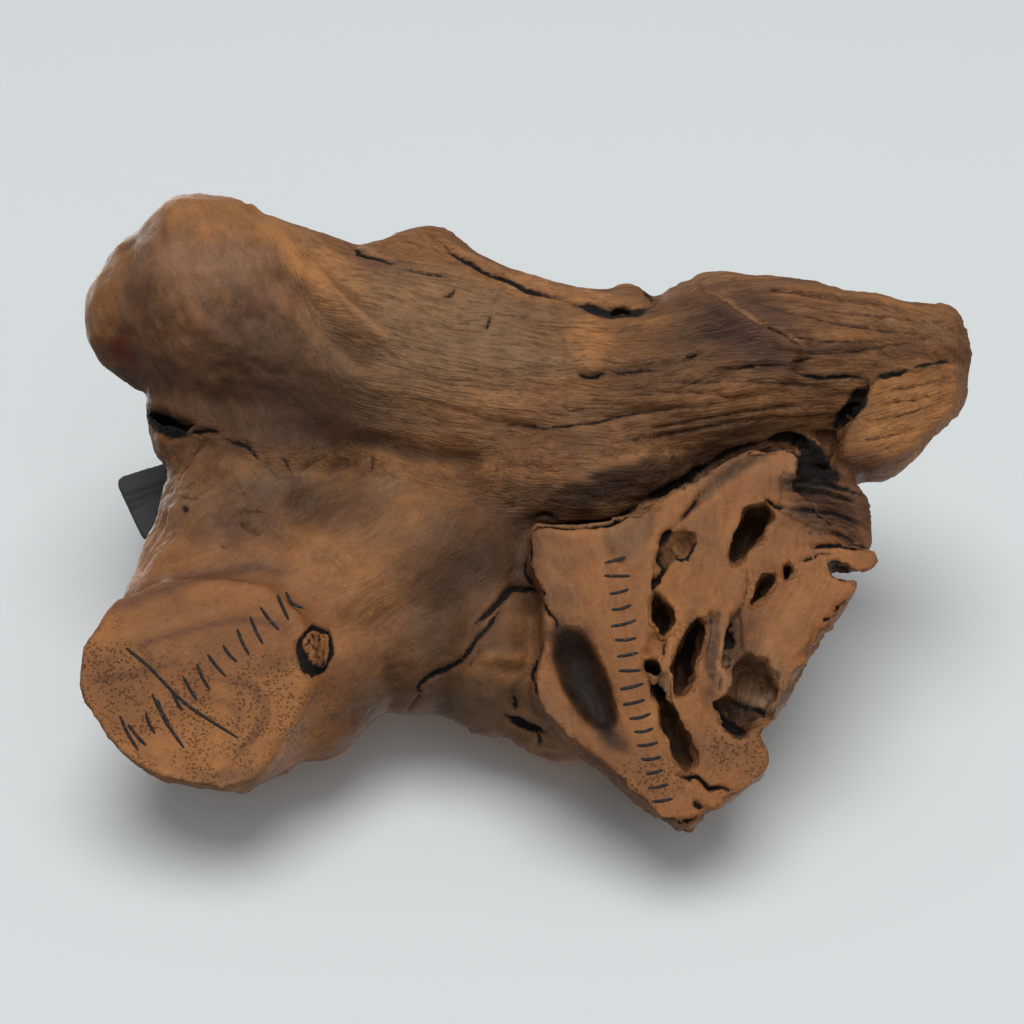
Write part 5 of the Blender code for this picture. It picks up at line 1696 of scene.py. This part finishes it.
def make_leg(word):
    """A wire leg with rows of scales."""
    leg = copy_of(f"{word}_leg", f"{word}_scaled_leg")
    mesh = remesh(leg, LEG_VOXEL)
    relax(mesh, 30, 1.0)
    co, normal = coordinates(mesh), normals(mesh)
    x, y, z = bird_points(co).T
    shin = smooth(2.2, 3.4, z)
    rings = np.abs(np.sin(z * math.pi / SHIN_PITCH)) * shin
    root = np.hypot(x, abs(y) - 7)
    joints = np.abs(np.sin(root * math.pi / TOE_PITCH)) * (1 - shin)
    place(mesh, co + normal * (SCALE_DEPTH * (rings + joints) - 0.05)[:, None] * MM)
    return leg


def make_eye(word):
    """A polished bead in place of the plain one."""
    low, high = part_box(f"{word}_eye")
    bm = bmesh.new()
    middle = Matrix.Translation((low + high) / 2)
    bmesh.ops.create_uvsphere(bm, u_segments=48, v_segments=32, radius=(high.z - low.z) / 2, matrix=middle)
    for face in bm.faces:
        face.smooth = True
    return new_object(f"{word}_glass_bead", bm)


def eye_material():
    made, tree, shader = new_material("black_glass")
    colour = mix_colours(tree, noise_texture(tree, own_place(tree), 500.0), GLASS_DARK, GLASS_LIGHT)
    tree.links.new(colour, shader.inputs["Base Color"])
    shader.inputs["Roughness"].default_value = 0.04
    shader.inputs["Coat Weight"].default_value = 1.0
    shader.inputs["Coat Roughness"].default_value = 0.02
    return made


# Pen strokes


def ink_stroke(bm, pixels):
    """A pen's line along a smooth route on the sanded flat, as a thin flattened tube."""
    line = sheet_at(curve(pixels, 6))
    way = np.gradient(line, axis=0)
    way /= np.linalg.norm(way, axis=1)[:, None]
    rings = []
    for i, (spot, ahead) in enumerate(zip(line, way)):
        end = min(i, len(line) - 1 - i) / 2
        size = 0.55 + 0.45 * min(1.0, end)
        across = np.array((-ahead[1], ahead[0]))
        ring = []
        for turn in np.arange(INK_SIDES) * math.tau / INK_SIDES:
            flat = spot + across * math.cos(turn) * INK_HALF_WIDTH * size
            point = (*flat, math.sin(turn) * INK_HALF_DEPTH - INK_LIFT)
            ring.append(bm.verts.new((np.array(point) + OFFSET) * MM))
        rings.append(ring)
    for first, second in zip(rings, rings[1:]):
        for i in range(INK_SIDES):
            after = (i + 1) % INK_SIDES
            bm.faces.new((first[i], first[after], second[after], second[i]))
    bm.faces.new(rings[0][::-1])
    bm.faces.new(rings[-1])


def make_ink():
    """Rows of plain pen strokes, which aren't letters, where the photo has handwriting."""
    chance = np.random.default_rng(INK_SEED)
    bm = bmesh.new()
    for start, end, tilt, length, count in INK_ROWS:
        start, end = np.array(start, float), np.array(end, float)
        for i in range(count):
            middle = start + (end - start) * i / (count - 1)
            turn = math.radians(tilt + chance.uniform(-9, 9))
            way = np.array((math.cos(turn), math.sin(turn)))
            half = way * length * SCALE / 2 * chance.uniform(0.7, 1.0)
            bow = np.array((-way[1], way[0])) * chance.uniform(0.3, 1.6)
            ink_stroke(bm, (middle - half, middle + bow, middle + half))
    for route in INK_LONG:
        ink_stroke(bm, route)
    bmesh.ops.recalc_face_normals(bm, faces=bm.faces)
    return new_object("pen_strokes", bm)


def ink_material():
    made, tree, shader = new_material("pen_ink")
    thin_ink = ramp(tree, noise_texture(tree, own_place(tree), 1300.0), 0.5, 0.75)
    colour = mix_colours(tree, thin_ink, rgba(INK_DARK), rgba(INK_THIN))
    tree.links.new(colour, shader.inputs["Base Color"])
    shader.inputs["Roughness"].default_value = 0.6
    shader.inputs["Specular IOR Level"].default_value = 0.2
    return made


# Studio

# The pale sheet behind the object, as the camera sees it: its height, and its slope towards +Y
SHEET_HEIGHT = 74 * MM
SHEET_SLOPE = math.atan(0.78)
SHEET_COLOUR = linear(199, 203, 204)
FLOOR_COLOUR = linear(214, 217, 218)
FLOOR_DROP = 0.5 * MM
STAGE_SIZE = 3.0
# How far above the object's foot the upper lights aim, in metres
UPPER_AIM = 0.05
# Lights: place and aim from the middle of the foot, in metres, size and power
LIGHTS = {
    "key_below": ((0.0, -1.3, -1.7), 0, 1.7, 42.0),
    "fill_below": ((0.3, 0.2, -1.6), 0, 1.4, 5.0),
    "key_above": ((-0.45, -0.5, 0.75), UPPER_AIM, 0.6, 9.0),
    "fill_above": ((0.6, 0.5, 0.6), UPPER_AIM, 0.8, 4.0),
}
WORLD_COLOUR = (0.90, 0.93, 0.95, 1)
WORLD_STRENGTH = 0.36


def one_sided(name, colour):
    """A pale matt material that only its front shows."""
    made, tree, shader = new_material(name)
    shader.inputs["Base Color"].default_value = rgba(colour)
    shader.inputs["Roughness"].default_value = 0.9
    shader.inputs["Specular IOR Level"].default_value = 0.1
    clear = tree.nodes.new("ShaderNodeBsdfTransparent")
    back = tree.nodes.new("ShaderNodeNewGeometry").outputs["Backfacing"]
    mixed = tree.nodes.new("ShaderNodeMixShader")
    tree.links.new(back, mixed.inputs[0])
    tree.links.new(shader.outputs[0], mixed.inputs[1])
    tree.links.new(clear.outputs[0], mixed.inputs[2])
    tree.links.new(mixed.outputs[0], tree.nodes["Material Output"].inputs["Surface"])
    return made


def stage_plane(name, height, facing_down, colour):
    """A wide plane of the stage, which neither shades nor lights the object."""
    bm = bmesh.new()
    bmesh.ops.create_grid(bm, x_segments=1, y_segments=1, size=STAGE_SIZE / 2)
    if facing_down:
        bmesh.ops.reverse_faces(bm, faces=bm.faces)
    plane = new_object(name, bm)
    plane.location.z = height
    if facing_down:
        plane.rotation_euler.x = -SHEET_SLOPE
    plane.data.materials.append(one_sided(name, colour))
    for ray in ("shadow", "diffuse", "glossy", "transmission"):
        setattr(plane, f"visible_{ray}", False)


def area_light(name, spot, target, size, power):
    """A round soft light."""
    lamp = bpy.data.lights.new(name, "AREA")
    lamp.shape = "DISK"
    lamp.size = size
    lamp.energy = power
    thing = link(bpy.data.objects.new(name, lamp))
    thing.location = spot
    thing.rotation_mode = "QUATERNION"
    thing.rotation_quaternion = (target - spot).to_track_quat("-Z", "Y")


def make_camera():
    """The camera, where the photograph was taken from."""
    camera = link(bpy.data.objects.new("camera", bpy.data.cameras.new("camera")))
    camera.data.sensor_width = SENSOR
    camera.data.lens = SENSOR * FOCAL_PIXELS / PHOTO_WIDTH
    camera.data.clip_start = 0.01
    sin, cos = math.sin(CAMERA_TILT), math.cos(CAMERA_TILT)
    right, up, back = Vector((1, 0, 0)), Vector((0, -cos, -sin)), Vector((0, sin, -cos))
    pose = Matrix((right, up, back)).transposed().to_4x4()
    pose.translation = Vector(OFFSET * MM) + back * CAMERA_DISTANCE * MM
    camera.matrix_world = pose
    bpy.context.scene.camera = camera


def make_studio():
    middle = Vector(OFFSET * MM)
    stage_plane("floor", -FLOOR_DROP, False, FLOOR_COLOUR)
    stage_plane("sheet", SHEET_HEIGHT, True, SHEET_COLOUR)
    for name, (away, aim, size, power) in LIGHTS.items():
        area_light(name, middle + Vector(away), middle + Vector((0, 0, aim)), size, power)
    world = bpy.data.worlds.new("studio")
    bpy.context.scene.world = world
    world.use_nodes = True
    background = world.node_tree.nodes["Background"]
    background.inputs["Color"].default_value = WORLD_COLOUR
    background.inputs["Strength"].default_value = WORLD_STRENGTH
    bpy.context.scene.view_settings.view_transform = "Standard"


def dress(piece, material, replaced=None):
    """Gives a piece its material and the body it rides on, and hides the CAD node that it replaces."""
    piece.data.materials.append(material)
    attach(piece, "root")
    if replaced:
        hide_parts(replaced)


make_camera()
make_studio()
dress(make_driftwood(), wood_material(), "driftwood")
dress(make_ink(), ink_material())
dress(make_bird(), bird_material(), "bird_body")
leg_paint, glass = leg_material(), eye_material()
for word in ("left", "right"):
    dress(make_leg(word), leg_paint, f"{word}_leg")
    dress(make_eye(word), glass, f"{word}_eye")
